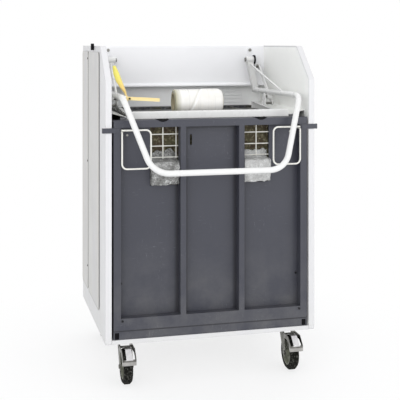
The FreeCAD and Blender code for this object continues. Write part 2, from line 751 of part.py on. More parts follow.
def lever_body(radius):
    right = [V(BAR_HALF, BAR_Y, BAR_Z), V(ELBOW_X, ELBOW_Y, ELBOW_Z), V(TAIL_X, TAIL_Y, TAIL_Z)]
    left = [V(-p.x, p.y, p.z) for p in reversed(right)]
    return pipe(left + right, [0, ELBOW_BEND, BAR_BEND, BAR_BEND, ELBOW_BEND, 0], radius)


def tube_plug():
    """The plastic cap that closes the tube's rear end."""
    ahead = V(tube_point(TAIL_Y) - tube_point(0)).normalize()
    end = V(TAIL_X, TAIL_Y, TAIL_Z)
    return rod(end, end + ahead * 3, TUBE_RADIUS)


def strut_prism(width, depth):
    x0 = PIVOT_X - width / 2
    y0 = PIVOT_Y - depth / 2
    top = face([(x0, y0), (x0 + width, y0), (x0 + width, y0 + depth), (x0, y0 + depth)], "z", PIVOT_Z)
    return top.extrude(V(TAIL_X - PIVOT_X, 0, TAIL_Z - PIVOT_Z))


def lever_hub():
    start = V(PIVOT_X - HUB_LENGTH / 2, PIVOT_Y, PIVOT_Z)
    return ring(HUB_RADIUS, PIN_RADIUS + RUNNING, start, HUB_LENGTH)


def hub_body():
    start = V(PIVOT_X - HUB_LENGTH / 2, PIVOT_Y, PIVOT_Z)
    return Part.makeCylinder(HUB_RADIUS, HUB_LENGTH, start, X_AXIS)


def lever_strut(tube_body):
    """The hub, and a box section from it down to a saddle on the tube's rear end."""
    outer = strut_prism(STRUT_WIDTH, STRUT_DEPTH).cut(hub_body()).cut(tube_body)
    hollow = strut_prism(STRUT_WIDTH - 2 * TUBE_WALL, STRUT_DEPTH - 2 * TUBE_WALL)
    return largest(outer.cut(hollow)).fuse(lever_hub())


def lever_tube(tube_body):
    """The bent tube, with the hinge sleeves and the release lever's plate welded on."""
    tube = tube_body.cut(lever_body(TUBE_RADIUS - TUBE_WALL))
    return tube.multiFuse([*both(hinge_boss(tube_body)), release_bracket(tube_body)])


def largest(shape):
    return max(shape.Solids, key=lambda solid: solid.Volume)


def lever_brace(tube_body):
    """A thin rod from the strut forward to the top of the tube."""
    high = V(PIVOT_X + 4, PIVOT_Y, PIVOT_Z - BRACE_DROP)
    brace = rod(high, tube_point(BRACE_Y), BRACE_RADIUS)
    return largest(brace.cut(strut_prism(STRUT_WIDTH, STRUT_DEPTH)).cut(tube_body).cut(hub_body()))


def hinge_boss(tube_body):
    """The short sleeve under the tube that carries the press plate."""
    start = V(tube_point(HINGE_Y).x - BOSS_LENGTH / 2, HINGE_Y, HINGE_Z)
    boss = ring(BOSS_RADIUS, HINGE_PIN_RADIUS + RUNNING, start, BOSS_LENGTH)
    return boss.cut(tube_body)


def release_bracket(tube_body):
    """The plate on the tube's inner side that the release lever turns in."""
    inner = tube_point(RELEASE_Y).x - TUBE_RADIUS
    outline = rounded(RELEASE_Y - 16, RELEASE_Y + 16, RELEASE_Z - 13, RELEASE_Z + 30, 10)
    plate = prism(outline, "x", inner - RELEASE_PLATE, inner + 2)
    bore = Part.makeCylinder(RELEASE_SHAFT + RUNNING, 20, V(inner - 10, RELEASE_Y, RELEASE_Z), X_AXIS)
    return largest(plate.cut(tube_body).cut(bore)).mirror(ORIGIN, X_AXIS)


def oval(centre, along, across, deep):
    """An ellipse square to the direction along, with its width across close to X."""
    side = V(along).cross(X_AXIS).normalize()
    flat = V(side).cross(along).normalize()
    if across > deep:
        curve = Part.Ellipse(centre + flat * across / 2, centre + side * deep / 2, centre)
    else:
        curve = Part.Ellipse(centre + side * deep / 2, centre + flat * across / 2, centre)
    return Part.Wire(curve.toShape())


def release_grip(root):
    """A paddle that rises from the eye and leans back over the tube."""
    centres = [root + V(-out, back, up) for out, back, up, across, deep in GRIP_SECTIONS]
    wires = []
    for i, centre in enumerate(centres):
        before = centres[max(i - 1, 0)]
        after = centres[min(i + 1, len(centres) - 1)]
        wires.append(oval(centre, after - before, *GRIP_SECTIONS[i][3:]))
    return Part.makeLoft(wires, True, True)


def release_lever():
    """The grip, and a bar across the chute, in one piece with the shaft."""
    inner = tube_point(RELEASE_Y).x - TUBE_RADIUS - RELEASE_PLATE - GAP
    shaft = rod(V(-inner - RELEASE_PLATE - 1, RELEASE_Y, RELEASE_Z), V(-inner, RELEASE_Y, RELEASE_Z),
                RELEASE_SHAFT)
    plate = rounded(RELEASE_Y - 14, RELEASE_Y + 14, RELEASE_Z - 14, RELEASE_Z + 32, 13)
    eye = prism(plate, "x", -inner, -inner + RELEASE_ROOT)
    grip = release_grip(V(-inner + RELEASE_ROOT / 2, RELEASE_Y, RELEASE_Z))
    z0 = RELEASE_Z + BAR_RISE - BAR_TALL / 2 + BAR_SLOPE / 2
    z1 = z0 + BAR_TALL
    outline = [(-inner, z0), (-BAR_END, z0 - BAR_SLOPE, 3), (-BAR_END, z1 - BAR_SLOPE, 3), (-inner, z1)]
    bar = prism(outline, "y", RELEASE_Y - BAR_THICK / 2, RELEASE_Y + BAR_THICK / 2)
    return shaft.multiFuse([eye, grip, bar]).removeSplitter()


def release_screw():
    """The dark set screw at the bar's root."""
    inner = tube_point(RELEASE_Y).x - TUBE_RADIUS - RELEASE_PLATE - GAP
    front = RELEASE_Y - BAR_THICK / 2
    z = RELEASE_Z + BAR_RISE + 3
    return rod(V(-inner + 18, front - 4, z), V(-inner + 18, front, z), 4.5)


# Swing arms and press plate

def swing_arm():
    """A flat bar with an eye at each end, on the same line as the lever's two pins."""
    top_y, top_z = link_pin_point(PIVOT_Y, PIVOT_Z)
    low_y, low_z = link_pin_point(HINGE_Y, HINGE_Z)
    top = V(ARM_X, top_y, top_z)
    low = V(ARM_X, low_y, low_z)
    side = V(top - low).cross(X_AXIS).normalize() * ARM_RADIUS
    corners = [top + side, low + side, low - side, top - side]
    bar = Part.Face(Part.makePolygon(corners + corners[:1])).extrude(V(ARM_THICKNESS, 0, 0))
    eyes = [Part.makeCylinder(ARM_RADIUS, ARM_THICKNESS, point, X_AXIS) for point in (top, low)]
    arm = bar.multiFuse(eyes).removeSplitter()
    arm = arm.cut(Part.makeCylinder(LINK_PIN_RADIUS + RUNNING, ARM_THICKNESS, top, X_AXIS))
    return arm.cut(Part.makeCylinder(LINK_PIN_RADIUS + GAP, ARM_THICKNESS, low, X_AXIS))


def plate_deck():
    """The dark deck, with low lips folded up along its sides and rear edge."""
    deck = block(-PLATE_HALF, PLATE_HALF, PLATE_FRONT + BEAM_SHEET, PLATE_REAR, PLATE_FOOT,
                 PLATE_TOP + PLATE_LIP)
    return deck.cut(block(-PLATE_HALF + SHEET, PLATE_HALF - SHEET, PLATE_FRONT + BEAM_SHEET,
                          PLATE_REAR - SHEET, PLATE_TOP, PLATE_TOP + PLATE_LIP)).cut(
        block(-PLATE_HALF, PLATE_HALF, PLATE_FRONT, PLATE_FRONT + BEAM_DEPTH + 2, PLATE_TOP,
              PLATE_TOP + PLATE_LIP))


def plate_beam():
    """The white channel along the plate's front edge."""
    top = PLATE_FOOT + BEAM_HEIGHT
    front = PLATE_FRONT
    rear = PLATE_FRONT + BEAM_DEPTH
    outline = [(front, PLATE_FOOT), (front + BEAM_SHEET, PLATE_FOOT),
               (front + BEAM_SHEET, top - BEAM_SHEET),
               (rear - BEAM_SHEET, top - BEAM_SHEET), (rear - BEAM_SHEET, PLATE_TOP),
               (rear, PLATE_TOP), (rear, top, 4), (front, top, 4)]
    return prism(outline, "x", -BEAM_HALF, BEAM_HALF)


def rib_places():
    return PLATE_FRONT + RIB_INSETS[0], PLATE_REAR - RIB_INSETS[1]


def plate_rib(y):
    """A hat section under the deck."""
    z0 = PLATE_FOOT - RIB_HEIGHT
    half = RIB_WIDTH / 2
    outline = [(y - half, PLATE_FOOT), (y - half + 6, z0), (y + half - 6, z0), (y + half, PLATE_FOOT),
               (y + half - 3, PLATE_FOOT), (y + half - 9, z0 + 3), (y - half + 9, z0 + 3),
               (y - half + 3, PLATE_FOOT)]
    return prism(outline, "x", -PLATE_HALF + 14, PLATE_HALF - 14)


def plate_lug():
    """The upright on the deck's edge, with its foot."""
    x1 = PLATE_HALF - SHEET
    x0 = x1 - LUG_SHEET
    front = HINGE_Y - LUG_MARGIN
    rear = link_pin_point(HINGE_Y, HINGE_Z)[0] + LUG_MARGIN
    crown = HINGE_Z + LUG_CROWN_RISE
    outline = [(front, PLATE_TOP), (rear, PLATE_TOP),
               (HINGE_Y + LUG_CROWN_HALF, crown, LUG_CORNER),
               (HINGE_Y - LUG_CROWN_HALF, crown, LUG_CORNER)]
    foot = block(x0 - LUG_FOOT, x0, front, rear, PLATE_TOP, PLATE_TOP + LUG_SHEET)
    return prism(outline, "x", x0, x1).fuse(foot).removeSplitter()


def headed_pin(y, z, radius, head_x):
    """A pin welded to the lug's outer face, with a flat head behind what turns on it."""
    start = PLATE_HALF - SHEET
    end = V(head_x + PIN_HEAD, y, z)
    pin = rod(V(start, y, z), end, radius)
    return pin.fuse(rod(V(head_x, y, z), end, radius + PIN_HEAD)).removeSplitter()


def lug_pins():
    """The hinge pin and the swing arm pin of a lug."""
    link_y, link_z = link_pin_point(HINGE_Y, HINGE_Z)
    boss_end = tube_point(HINGE_Y).x + BOSS_LENGTH / 2 + GAP
    return [headed_pin(HINGE_Y, HINGE_Z, HINGE_PIN_RADIUS, boss_end),
            headed_pin(link_y, link_z, LINK_PIN_RADIUS, ARM_X + ARM_THICKNESS + GAP)]


def film_roll(start):
    """A wound roll whose ends slope in at the edge."""
    low = ROLL_SHOULDER * 0.3
    end = ROLL_LENGTH
    return turned([
        (0, CORE_RADIUS), (end, CORE_RADIUS), (end, ROLL_RADIUS - ROLL_SHOULDER),
        (end - low, ROLL_RADIUS - low), (end - ROLL_SHOULDER, ROLL_RADIUS),
        (ROLL_SHOULDER, ROLL_RADIUS), (low, ROLL_RADIUS - low), (0, ROLL_RADIUS - ROLL_SHOULDER),
    ], start)


# Door

def door_members():
    """The outline of each frame member, as x0, x1, z0, z1."""
    h = DOOR_HALF
    return [
        (-h, -STILE_EDGE, DOOR_FOOT, DOOR_TOP),
        (STILE_EDGE, h, DOOR_FOOT, DOOR_TOP),
        (-h, h, BAY_TOP, DOOR_TOP),
        (-h, h, DOOR_FOOT, BAY_FOOT),
        (-POST_FAR, -POST_NEAR, DOOR_FOOT, DOOR_TOP),
        (POST_NEAR, POST_FAR, DOOR_FOOT, DOOR_TOP),
    ]


def smile_circle(y0, y1, x):
    """The round notch that a strap guide sits in."""
    depth = SMILE_DEPTH + SMILE_RISE
    radius = (SMILE_HALF ** 2 + depth ** 2) / (2 * depth)
    z = DOOR_TOP - SMILE_DEPTH + radius
    return Part.makeCylinder(radius, y1 - y0, V(x, y0, z), Y_AXIS)


def door_frame():
    """Channels open to the rear, welded to one frame, with notches for the strap guides."""
    t = DOOR_SHEET
    solids = [block(x0, x1, DOOR_FRONT, DOOR_REAR, z0, z1) for x0, x1, z0, z1 in door_members()]
    hollows = [block(x0 + t, x1 - t, DOOR_FRONT + t, DOOR_REAR, z0 + t, z1 - t)
               for x0, x1, z0, z1 in door_members()]
    frame = solids[0].multiFuse(solids[1:]).removeSplitter()
    frame = frame.cut(hollows[0].multiFuse(hollows[1:]))
    for x in (-STRAP_X, STRAP_X):
        frame = frame.cut(smile_circle(DOOR_FRONT, DOOR_REAR, x))
    return frame.multiFuse(both(door_peg()))


def door_skin():
    """The recessed sheet behind the frame, with two windows and a slot."""
    skin = block(-DOOR_HALF + 3, DOOR_HALF - 3, DOOR_REAR, SKIN_REAR, DOOR_FOOT + 3, DOOR_TOP - 14)
    for window in both(block(POST_FAR, WINDOW_FAR, DOOR_REAR, SKIN_REAR, WINDOW_FOOT, BAY_TOP)):
        skin = skin.cut(window)
    slot_top = BAY_TOP - SLOT_DROP
    slot = rounded(SLOT_X - SLOT_WIDTH / 2, SLOT_X + SLOT_WIDTH / 2, slot_top - SLOT_HEIGHT, slot_top,
                   SLOT_WIDTH / 2 - 0.5)
    return skin.cut(prism(slot, "y", DOOR_REAR, SKIN_REAR))


def cover_plate():
    """The dark plate beside a window, under the wire loop."""
    outline = rounded(WINDOW_FAR, STILE_EDGE, BAY_TOP - PLATE_EDGE_HEIGHT, BAY_TOP, 1)
    return prism(outline, "y", DOOR_REAR - SKIN, DOOR_REAR)


def strap_guide(x):
    """A black crescent in the top rail's upper edge."""
    y0 = DOOR_FRONT - 1.5
    y1 = DOOR_REAR
    body = smile_circle(y0, y1, x)
    depth = SMILE_DEPTH + SMILE_RISE - SMILE_THICKNESS
    radius = (SMILE_HALF ** 2 + depth ** 2) / (2 * depth)
    z = DOOR_TOP + SMILE_RISE - depth + radius
    body = body.cut(Part.makeCylinder(radius, y1 - y0, V(x, y0, z), Y_AXIS))
    return largest(body.common(block(x - 40, x + 40, y0, y1, DOOR_TOP - 40, DOOR_TOP + SMILE_RISE)))


def door_tab():
    """The flat hook that laps over the housing's front edge."""
    tip = WIDTH / 2 + TAB_OUT
    outline = [(STILE_EDGE + 6, DOOR_FRONT), (STILE_EDGE + 6, DOOR_FRONT - TAB_SHEET),
               (tip, DOOR_FRONT - TAB_SHEET, 4), (tip, 16), (tip - 3, 16), (tip - 3, DOOR_FRONT)]
    top = DOOR_TOP - TAB_DROP
    return prism(outline, "z", top - TAB_HEIGHT, top)


def door_peg():
    return rod(V(SOCKET_X, PEG_Y, DOOR_FOOT - PEG_LENGTH), V(SOCKET_X, PEG_Y, DOOR_FOOT), PEG_RADIUS)


def handle_loop():
    """A wire bent to a ring that stands off the cover plate, with both ends turned back to it."""
    front = -LOOP_STAND
    back = DOOR_REAR - SKIN
    outer = STILE_EDGE - LOOP_INSET
    inner = WINDOW_FAR + LOOP_BESIDE
    top = BAY_TOP - LOOP_DROP
    foot = top - LOOP_HEIGHT
    second = top - 2 * LOOP_WIRE - GAP
    points = [V(outer, back, top), V(outer, front, top), V(inner, front, top), V(inner, front, foot),
              V(outer, front, foot), V(outer, front, second), V(outer, back, second)]
    return pipe(points, [0, 8, LOOP_BEND, LOOP_BEND, LOOP_BEND, 8, 0], LOOP_WIRE)


def window_guard():
    """Welded wires across the upper half of a window, behind the skin."""
    y = SKIN_REAR + GRID_WIRE
    low = BAY_TOP - GRID_DROPS[-1] - 6
    uprights = [rod(V(WINDOW_FAR - step, y, low), V(WINDOW_FAR - step, y, BAY_TOP + 12), GRID_WIRE)
                for step in GRID_STEPS]
    behind = y + 1.4 * GRID_WIRE
    rails = [rod(V(POST_FAR - 8, behind, z), V(WINDOW_FAR + 8, behind, z), GRID_WIRE)
             for z in (BAY_TOP - drop for drop in GRID_DROPS)]
    return uprights[0].multiFuse(uprights[1:] + rails)


def film_wad():
    """Clear film stuffed into a window under the wires, which stands up behind them."""
    foot = WINDOW_FOOT + GAP
    step = WINDOW_FOOT + WAD_HEIGHT
    top = WINDOW_FOOT + WAD_TOP
    rise = SKIN_REAR + WAD_BEHIND
    rear = SKIN_REAR + WAD_REACH
    outline = [(WAD_FRONT, foot, 16), (rear, foot, 16), (rear, top, 14), (rise, top, 8), (rise, step),
               (WAD_FRONT, step, 24)]
    return prism(outline, "x", POST_FAR + GAP, WINDOW_FAR - GAP)


def door_bolts():
    """Two small bolt heads by each stile and a screw in each cover plate."""
    x = STILE_EDGE - BOLT_INSET
    heads = []
    for y, z in ((DOOR_FRONT, BAY_FOOT - BOLT_UNDER), (DOOR_REAR, BAY_FOOT + BOLT_OVER)):
        heads += both(rod(V(x, y, z), V(x, y - SCREW_RADIUS, z), SCREW_RADIUS))
    cover_screw = V(STILE_EDGE - COVER_SCREW_INSET, DOOR_REAR - SKIN, BAY_TOP - COVER_SCREW_DROP)
    return heads + [*both(screw_head(cover_screw, V(0, -1, 0), SCREW_RADIUS))]


# Casters

def caster_plate(x, y):
    return prism(rounded(x - 52, x + 52, y - 42, y + 42, 8), "z", FOOT - CASTER_PLATE, FOOT)


def caster_bolts(x, y):
    """The heads of the four bolts that hold a caster plate."""
    return [hexagon(V(x + dx, y + dy, FOOT - CASTER_PLATE - 5), 7, "z", 5) for dx, dy in PLATE_BOLTS]


def swivel_plate():
    """A front top plate, with its ball race and kingpin."""
    race = rod(V(CASTER_X, SWIVEL_Y, CROWN_TOP + GAP), V(CASTER_X, SWIVEL_Y, FOOT - CASTER_PLATE),
               RACE_RADIUS)
    pin = rod(V(CASTER_X, SWIVEL_Y, CROWN_TOP - 7), V(CASTER_X, SWIVEL_Y, FOOT - CASTER_PLATE),
              KINGPIN_RADIUS)
    return caster_plate(CASTER_X, SWIVEL_Y).multiFuse([race, pin]).removeSplitter()


def fork_legs(axle_y, top_y, half_top, top_z):
    """Two pressed legs from the crown to the axle."""
    eye = 17
    foot = WHEEL_RADIUS - eye
    slope = [(top_y - half_top, top_z), (axle_y - eye, WHEEL_RADIUS + 4, 6), (axle_y - eye, foot, eye - 1),
             (axle_y + eye, foot, eye - 1), (top_y + half_top, top_z)]
    legs = []
    for x in (-FORK_GAP / 2 - FORK_SHEET, FORK_GAP / 2):
        leg = prism(slope, "x", CASTER_X + x, CASTER_X + x + FORK_SHEET)
        bore = Part.makeCylinder(AXLE_RADIUS, FORK_SHEET, V(CASTER_X + x, axle_y, WHEEL_RADIUS), X_AXIS)
        legs.append(leg.cut(bore))
    return legs


def swivel_fork():
    """The front fork, whose axle lies ahead of its kingpin."""
    half = FORK_GAP / 2 + FORK_SHEET
    crown = rod(V(CASTER_X, SWIVEL_Y, CROWN_TOP - 4), V(CASTER_X, SWIVEL_Y, CROWN_TOP), RACE_RADIUS + 3)
    bridge = block(CASTER_X - half, CASTER_X + half, SWIVEL_Y - 34, SWIVEL_Y + 34, CROWN_TOP - 4, CROWN_TOP)
    fork = crown.multiFuse([bridge] + fork_legs(WHEEL_FRONT_Y, SWIVEL_Y, 34, CROWN_TOP))
    fork = fork.cut(rod(V(CASTER_X, SWIVEL_Y, CROWN_TOP - 4), V(CASTER_X, SWIVEL_Y, CROWN_TOP),
                        KINGPIN_RADIUS + RUNNING))
    hinge = Part.makeCylinder(PEDAL_PIN, 2 * half + 8, V(CASTER_X - half - 4, PEDAL_Y, PEDAL_Z), X_AXIS)
    return fork.fuse(hinge).removeSplitter()


def rigid_fork():
    half = FORK_GAP / 2 + FORK_SHEET
    top = FOOT - CASTER_PLATE
    bridge = block(CASTER_X - half, CASTER_X + half, REAR_AXLE_Y - 38, REAR_AXLE_Y + 38, top - 3, top)
    legs = fork_legs(REAR_AXLE_Y, REAR_AXLE_Y, 38, top)
    return caster_plate(CASTER_X, REAR_AXLE_Y).multiFuse([bridge] + legs).removeSplitter()


def axle(y):
    """A bolt through the fork, with its head and nut outside the legs."""
    half = FORK_GAP / 2 + FORK_SHEET
    shank = Part.makeCylinder(AXLE_RADIUS, 2 * half + 6, V(CASTER_X - half, y, WHEEL_RADIUS), X_AXIS)
    head = hexagon(V(CASTER_X - half - 5, y, WHEEL_RADIUS), 10, "x", 5)
    nut = hexagon(V(CASTER_X + half, y, WHEEL_RADIUS), 10, "x", 6)
    return shank.multiFuse([head, nut]).removeSplitter()


def tyre(y):
    half = WHEEL_WIDTH / 2
    shoulder = WHEEL_RADIUS - 9
    return turned([(-half, RIM_RADIUS), (half, RIM_RADIUS), (half, shoulder), (half - 9, WHEEL_RADIUS),
                   (9 - half, WHEEL_RADIUS), (-half, shoulder)], V(CASTER_X, y, WHEEL_RADIUS))


def hub(y):
    """Boss, web and rim of a wheel."""
    half = FORK_GAP / 2 - GAP
    rim = WHEEL_WIDTH / 2 - 2
    bore = AXLE_RADIUS + RUNNING
    return turned([
        (-half, bore), (half, bore), (half, 17), (6, 17), (6, 46), (rim, 50),
        (rim, RIM_RADIUS), (-rim, RIM_RADIUS), (-rim, 50), (-6, 46), (-6, 17), (-half, 17),
    ], V(CASTER_X, y, WHEEL_RADIUS))


def brake_pedal():
    """Two cheeks outside the fork, a tongue over the tyre and a wide foot plate in front."""
    sheet = PEDAL_SHEET
    inner = FORK_GAP / 2 + FORK_SHEET + GAP
    outer = inner + sheet
    front = PEDAL_FRONT
    foot = WHEEL_RADIUS + 32
    over = PEDAL_Z + 11
    rear = PEDAL_Y - 30
    cheek = [(PEDAL_Y + 11, PEDAL_Z - 10, 8), (PEDAL_Y + 11, PEDAL_Z + 12, 8),
             (front + 40, PEDAL_Z + 14, 12), (front, foot + 28, 3), (front, foot, 2), (front + 12, foot, 2),
             (front + 22, foot + 26, 8), (front + 52, PEDAL_Z - 8, 12)]
    cheeks = [prism(cheek, "x", CASTER_X + x, CASTER_X + x + sheet) for x in (-outer, inner)]
    plate = block(CASTER_X - outer, CASTER_X + outer, front, front + sheet, foot, foot + 27)
    strip = [(front, foot + 25), (front + sheet, foot + 25), (front + 40, over), (rear, over),
             (rear, over + sheet), (front + 39, over + sheet), (front, foot + 29)]
    tongue = prism(strip, "x", CASTER_X - 14, CASTER_X + 14)
    bridge = block(CASTER_X - outer, CASTER_X + outer, rear - 22, rear, over, over + sheet)
    pedal = plate.multiFuse(cheeks + [tongue, bridge]).removeSplitter()
    bore = rod(V(CASTER_X - outer - 8, PEDAL_Y, PEDAL_Z), V(CASTER_X + outer + 8, PEDAL_Y, PEDAL_Z),
               PEDAL_PIN + RUNNING)
    return pedal.cut(bore)


def write_pair(name, shape):
    right, left = both(shape)
    save(name + "_right", right)
    save(name + "_left", left)


def write_housing():
    write_pair("wall", side_wall())
    save("wall_liners", *both(side_liner()))
    save("side_covers", *[solid for span in COVER_SPANS for solid in both(side_cover(span))])
    save("housing_screws", *cover_screws(), *rear_screws())
    save("base_frame", base_frame())
    save("front_sill", front_sill())
    seals = [solid for span in COVER_SPANS for solid in both(cover_seal(span))]
    save("black_trim", wall_buffer(), *both(sill_plug()), *seals)
    save("chamber_floor", chamber_floor())
    save("chamber_sides", *both(chamber_side()))
    save("chamber_rear", chamber_rear())
    save("chute_ledges", *both(chute()))
    save("hood_panel", hood_panel())
    save("recess_panel", recess_panel())
    save("rear_cover", rear_cover())
    save("pivot_brackets", *both(pivot_bracket()))
    save("pivot_pins", *[solid for pin in pivot_pins() for solid in both(pin)])
    save("pivot_caps", *both(pivot_cap()))


def write_lever():
    tube_body = lever_body(TUBE_RADIUS)
    save("lever_tube", lever_tube(tube_body))
    save("tube_plugs", *both(tube_plug()))
    save("lever_struts", *both(lever_strut(tube_body)))
    save("lever_braces", *both(lever_brace(tube_body)))
    save("release_lever", release_lever())
    save("release_screw", release_screw())
    write_pair("swing_arm", swing_arm())


def write_plate():
    save("plate_deck", plate_deck().multiFuse([plate_rib(y) for y in rib_places()]))
    save("plate_beam", plate_beam())
    save("plate_lugs", *both(plate_lug()))
    save("lug_pins", *[solid for pin in lug_pins() for solid in both(pin)])
    roll_start = V(ROLL_LEFT, ROLL_Y, PLATE_TOP + ROLL_RADIUS)
    save("film_roll", film_roll(roll_start))
    save("roll_core", ring(CORE_RADIUS, CORE_RADIUS - CORE_WALL, roll_start, ROLL_LENGTH))


def write_door():
    save("door_frame", door_frame())
    save("door_skin", door_skin())
    save("cover_plates", *both(cover_plate()))
    save("strap_guides", strap_guide(-STRAP_X), strap_guide(STRAP_X))
    save("door_tabs", *both(door_tab()))
    save("door_bolts", *door_bolts())
    write_pair("handle_loop", handle_loop())
    save("window_guards", *both(window_guard()))
    write_pair("film_wad", film_wad())


def write_casters():
    save("swivel_plates", *both(swivel_plate()))
    save("rear_forks", *both(rigid_fork()))
    bolts = caster_bolts(CASTER_X, SWIVEL_Y) + caster_bolts(CASTER_X, REAR_AXLE_Y)
    heads = [solid for bolt in bolts for solid in both(bolt)]
    save("caster_bolts", *heads, *both(axle(REAR_AXLE_Y)))
    write_pair("swivel_fork", swivel_fork())
    write_pair("front_axle", axle(WHEEL_FRONT_Y))
    write_pair("brake_pedal", brake_pedal())
    for place_name, y in (("front", WHEEL_FRONT_Y), ("rear", REAR_AXLE_Y)):
        write_pair("tyre_" + place_name, tyre(y))
        write_pair("hub_" + place_name, hub(y))


os.makedirs("parts", exist_ok=True)
write_housing()
write_lever()
write_plate()
write_door()
write_casters()
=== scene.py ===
# Looks of a recycling baler on casters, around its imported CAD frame.
# The file follows the machine as it is put together, from the folded housing to the casters,
# and ends with the floor, the lamps and the camera. Lengths are in metres.

import math

import bmesh
import bpy
from mathutils import Matrix, Vector, noise as field


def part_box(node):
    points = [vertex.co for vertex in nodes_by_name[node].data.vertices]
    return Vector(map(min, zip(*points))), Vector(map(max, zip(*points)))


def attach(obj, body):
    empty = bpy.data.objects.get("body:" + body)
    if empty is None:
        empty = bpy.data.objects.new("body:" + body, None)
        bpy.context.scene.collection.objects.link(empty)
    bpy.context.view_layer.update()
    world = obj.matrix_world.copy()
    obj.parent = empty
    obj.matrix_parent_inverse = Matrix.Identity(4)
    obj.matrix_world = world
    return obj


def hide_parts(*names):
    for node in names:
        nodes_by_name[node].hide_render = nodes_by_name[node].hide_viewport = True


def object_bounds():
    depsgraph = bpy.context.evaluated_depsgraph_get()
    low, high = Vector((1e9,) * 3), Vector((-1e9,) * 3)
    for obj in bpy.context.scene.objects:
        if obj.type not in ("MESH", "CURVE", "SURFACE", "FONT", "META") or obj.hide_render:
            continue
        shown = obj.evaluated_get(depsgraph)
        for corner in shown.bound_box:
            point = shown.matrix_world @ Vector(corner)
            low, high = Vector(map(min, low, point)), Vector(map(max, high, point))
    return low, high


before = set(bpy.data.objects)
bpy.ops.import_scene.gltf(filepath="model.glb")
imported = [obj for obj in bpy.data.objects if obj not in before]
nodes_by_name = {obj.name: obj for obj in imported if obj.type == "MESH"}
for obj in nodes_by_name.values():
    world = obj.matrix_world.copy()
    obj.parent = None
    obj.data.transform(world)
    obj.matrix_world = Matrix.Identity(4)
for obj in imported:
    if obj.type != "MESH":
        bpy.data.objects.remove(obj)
cad_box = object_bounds()


# Housing: folded sheet walls under a white powder coat, closed by covers that are screwed on.
# The coat has a fine orange peel, streaks from cleaning, and dust towards the floor.
# Dirt and painted shade lie in the gap between the covers and along their feet.

HOUSING_WHITE = (0.64, 0.638, 0.647, 1)
HOUSING_DUST = (0.66, 0.655, 0.63, 1)
HOUSING_SCUFF = (0.70, 0.70, 0.69, 1)
# The hood's sheet has the housing's coat, painted lighter here as painted light on the recessed
# hood.
HOOD_WHITE_LIT = (0.86, 0.86, 0.875, 1)
HOOD_SCUFF = (0.72, 0.72, 0.71, 1)
# The side covers have the housing's coat, painted darker and warmer here as painted shade on the
# side faces.
COVER_WHITE_SHADED = (0.53, 0.527, 0.512, 1)
COVER_SCUFF = (0.60, 0.60, 0.58, 1)
COVER_LILAC = (0.50, 0.49, 0.54, 1)
COVER_CREAM = (0.58, 0.55, 0.48, 1)
PEEL_SCALE = 650.0
PEEL_DEPTH = 0.0004
DULLER = 0.93             # the coat's darkest cloud, as a share of its colour
DUSTY_ROUGHNESS = 0.25
SCUFF_SCALE = 26.0
FOLD_RADIUS = 0.0015      # the sheet's folded edges, as light rounds them
DUST_FOOT = 0.2           # the height up to which dust is thickest
DUST_REACH = 0.5          # how far above that it thins out
STREAK_LENGTH = 0.05      # share of the height left in a streak's pattern, so that it runs tall
COVER_JOINT_Y = 0.24375   # the gap between the two covers
COVER_LOW, COVER_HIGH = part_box("side_covers")
# dirt with painted shade, in the covers' joint
JOINT_DIRT_AND_SHADE = (0.16, 0.155, 0.15, 1)
JOINT_REACH = (0.008, 0.013)   # how far from the gap the dirt begins to thin, and where it ends
JOINT_END = 0.004         # the dirt stops over this length at the gap's ends
FOOT_REACH = (0.003, 0.007)    # the same reach, along the covers' feet


def feed(tree, socket, value):
    """Sets a socket to a number or colour, or links it to another node's output."""
    if isinstance(value, bpy.types.NodeSocket):
        tree.links.new(value, socket)
    else:
        socket.default_value = value


def add(tree, kind, **values):
    """A node of that kind, with its properties set and its named inputs fed."""
    node = tree.nodes.new(kind)
    for key, value in values.items():
        if hasattr(node, key):
            setattr(node, key, value)
        else:
            feed(tree, node.inputs[key.replace("_", " ").title()], value)
    return node


def math_node(tree, operation, first, *others):
    """The result of an operation on one value, or on several, taken in turn."""
    result = first
    for other in others or (0.0,):
        node = add(tree, "ShaderNodeMath", operation=operation)
        feed(tree, node.inputs[0], result)
        feed(tree, node.inputs[1], other)
        result = node.outputs[0]
    return result


def distance_from(tree, value, middle):
    return math_node(tree, "ABSOLUTE", math_node(tree, "SUBTRACT", value, middle))


def ramp(tree, value, low, high, bottom=0.0, top=1.0):
    """Carries values between low and high over to values between bottom and top."""
    node = add(tree, "ShaderNodeMapRange", clamp=True, value=value,
               from_min=low, from_max=high, to_min=bottom, to_max=top)
    return node.outputs["Result"]


def fade(tree, value, low, high, most=1.0):
    """The most up to low, and nothing from high on."""
    return ramp(tree, value, low, high, most, 0.0)


def mix_colour(tree, factor, first, second):
    node = add(tree, "ShaderNodeMix", data_type="RGBA")
    factor_and_colours = (node.inputs[0], node.inputs[6], node.inputs[7])
    for socket, value in zip(factor_and_colours, (factor, first, second)):
        feed(tree, socket, value)
    return node.outputs[2]


def noise(tree, vector, scale, detail=3, roughness=0.5):
    node = add(tree, "ShaderNodeTexNoise", vector=vector, scale=scale, detail=detail,
               roughness=roughness)
    return node.outputs["Fac"]


def patches(tree, vector, scale, low, high, bottom=0.0, top=1.0, detail=3, roughness=0.5):
    """Cloudy patches: bottom where the noise is under low, and top where it is over high."""
    return ramp(tree, noise(tree, vector, scale, detail, roughness), low, high, bottom, top)


def place_on_machine(tree):
    return tree.nodes.new("ShaderNodeTexCoord").outputs["Object"]


def axes_on_machine(tree):
    """A point's place on the machine, as its three axes."""
    return add(tree, "ShaderNodeSeparateXYZ", vector=place_on_machine(tree)).outputs


def stretched(tree, where, scale, turn=(0, 0, 0)):
    """A place turned and scaled, for a pattern that runs one way."""
    node = add(tree, "ShaderNodeMapping", vector=where, rotation=turn, scale=scale)
    return node.outputs["Vector"]


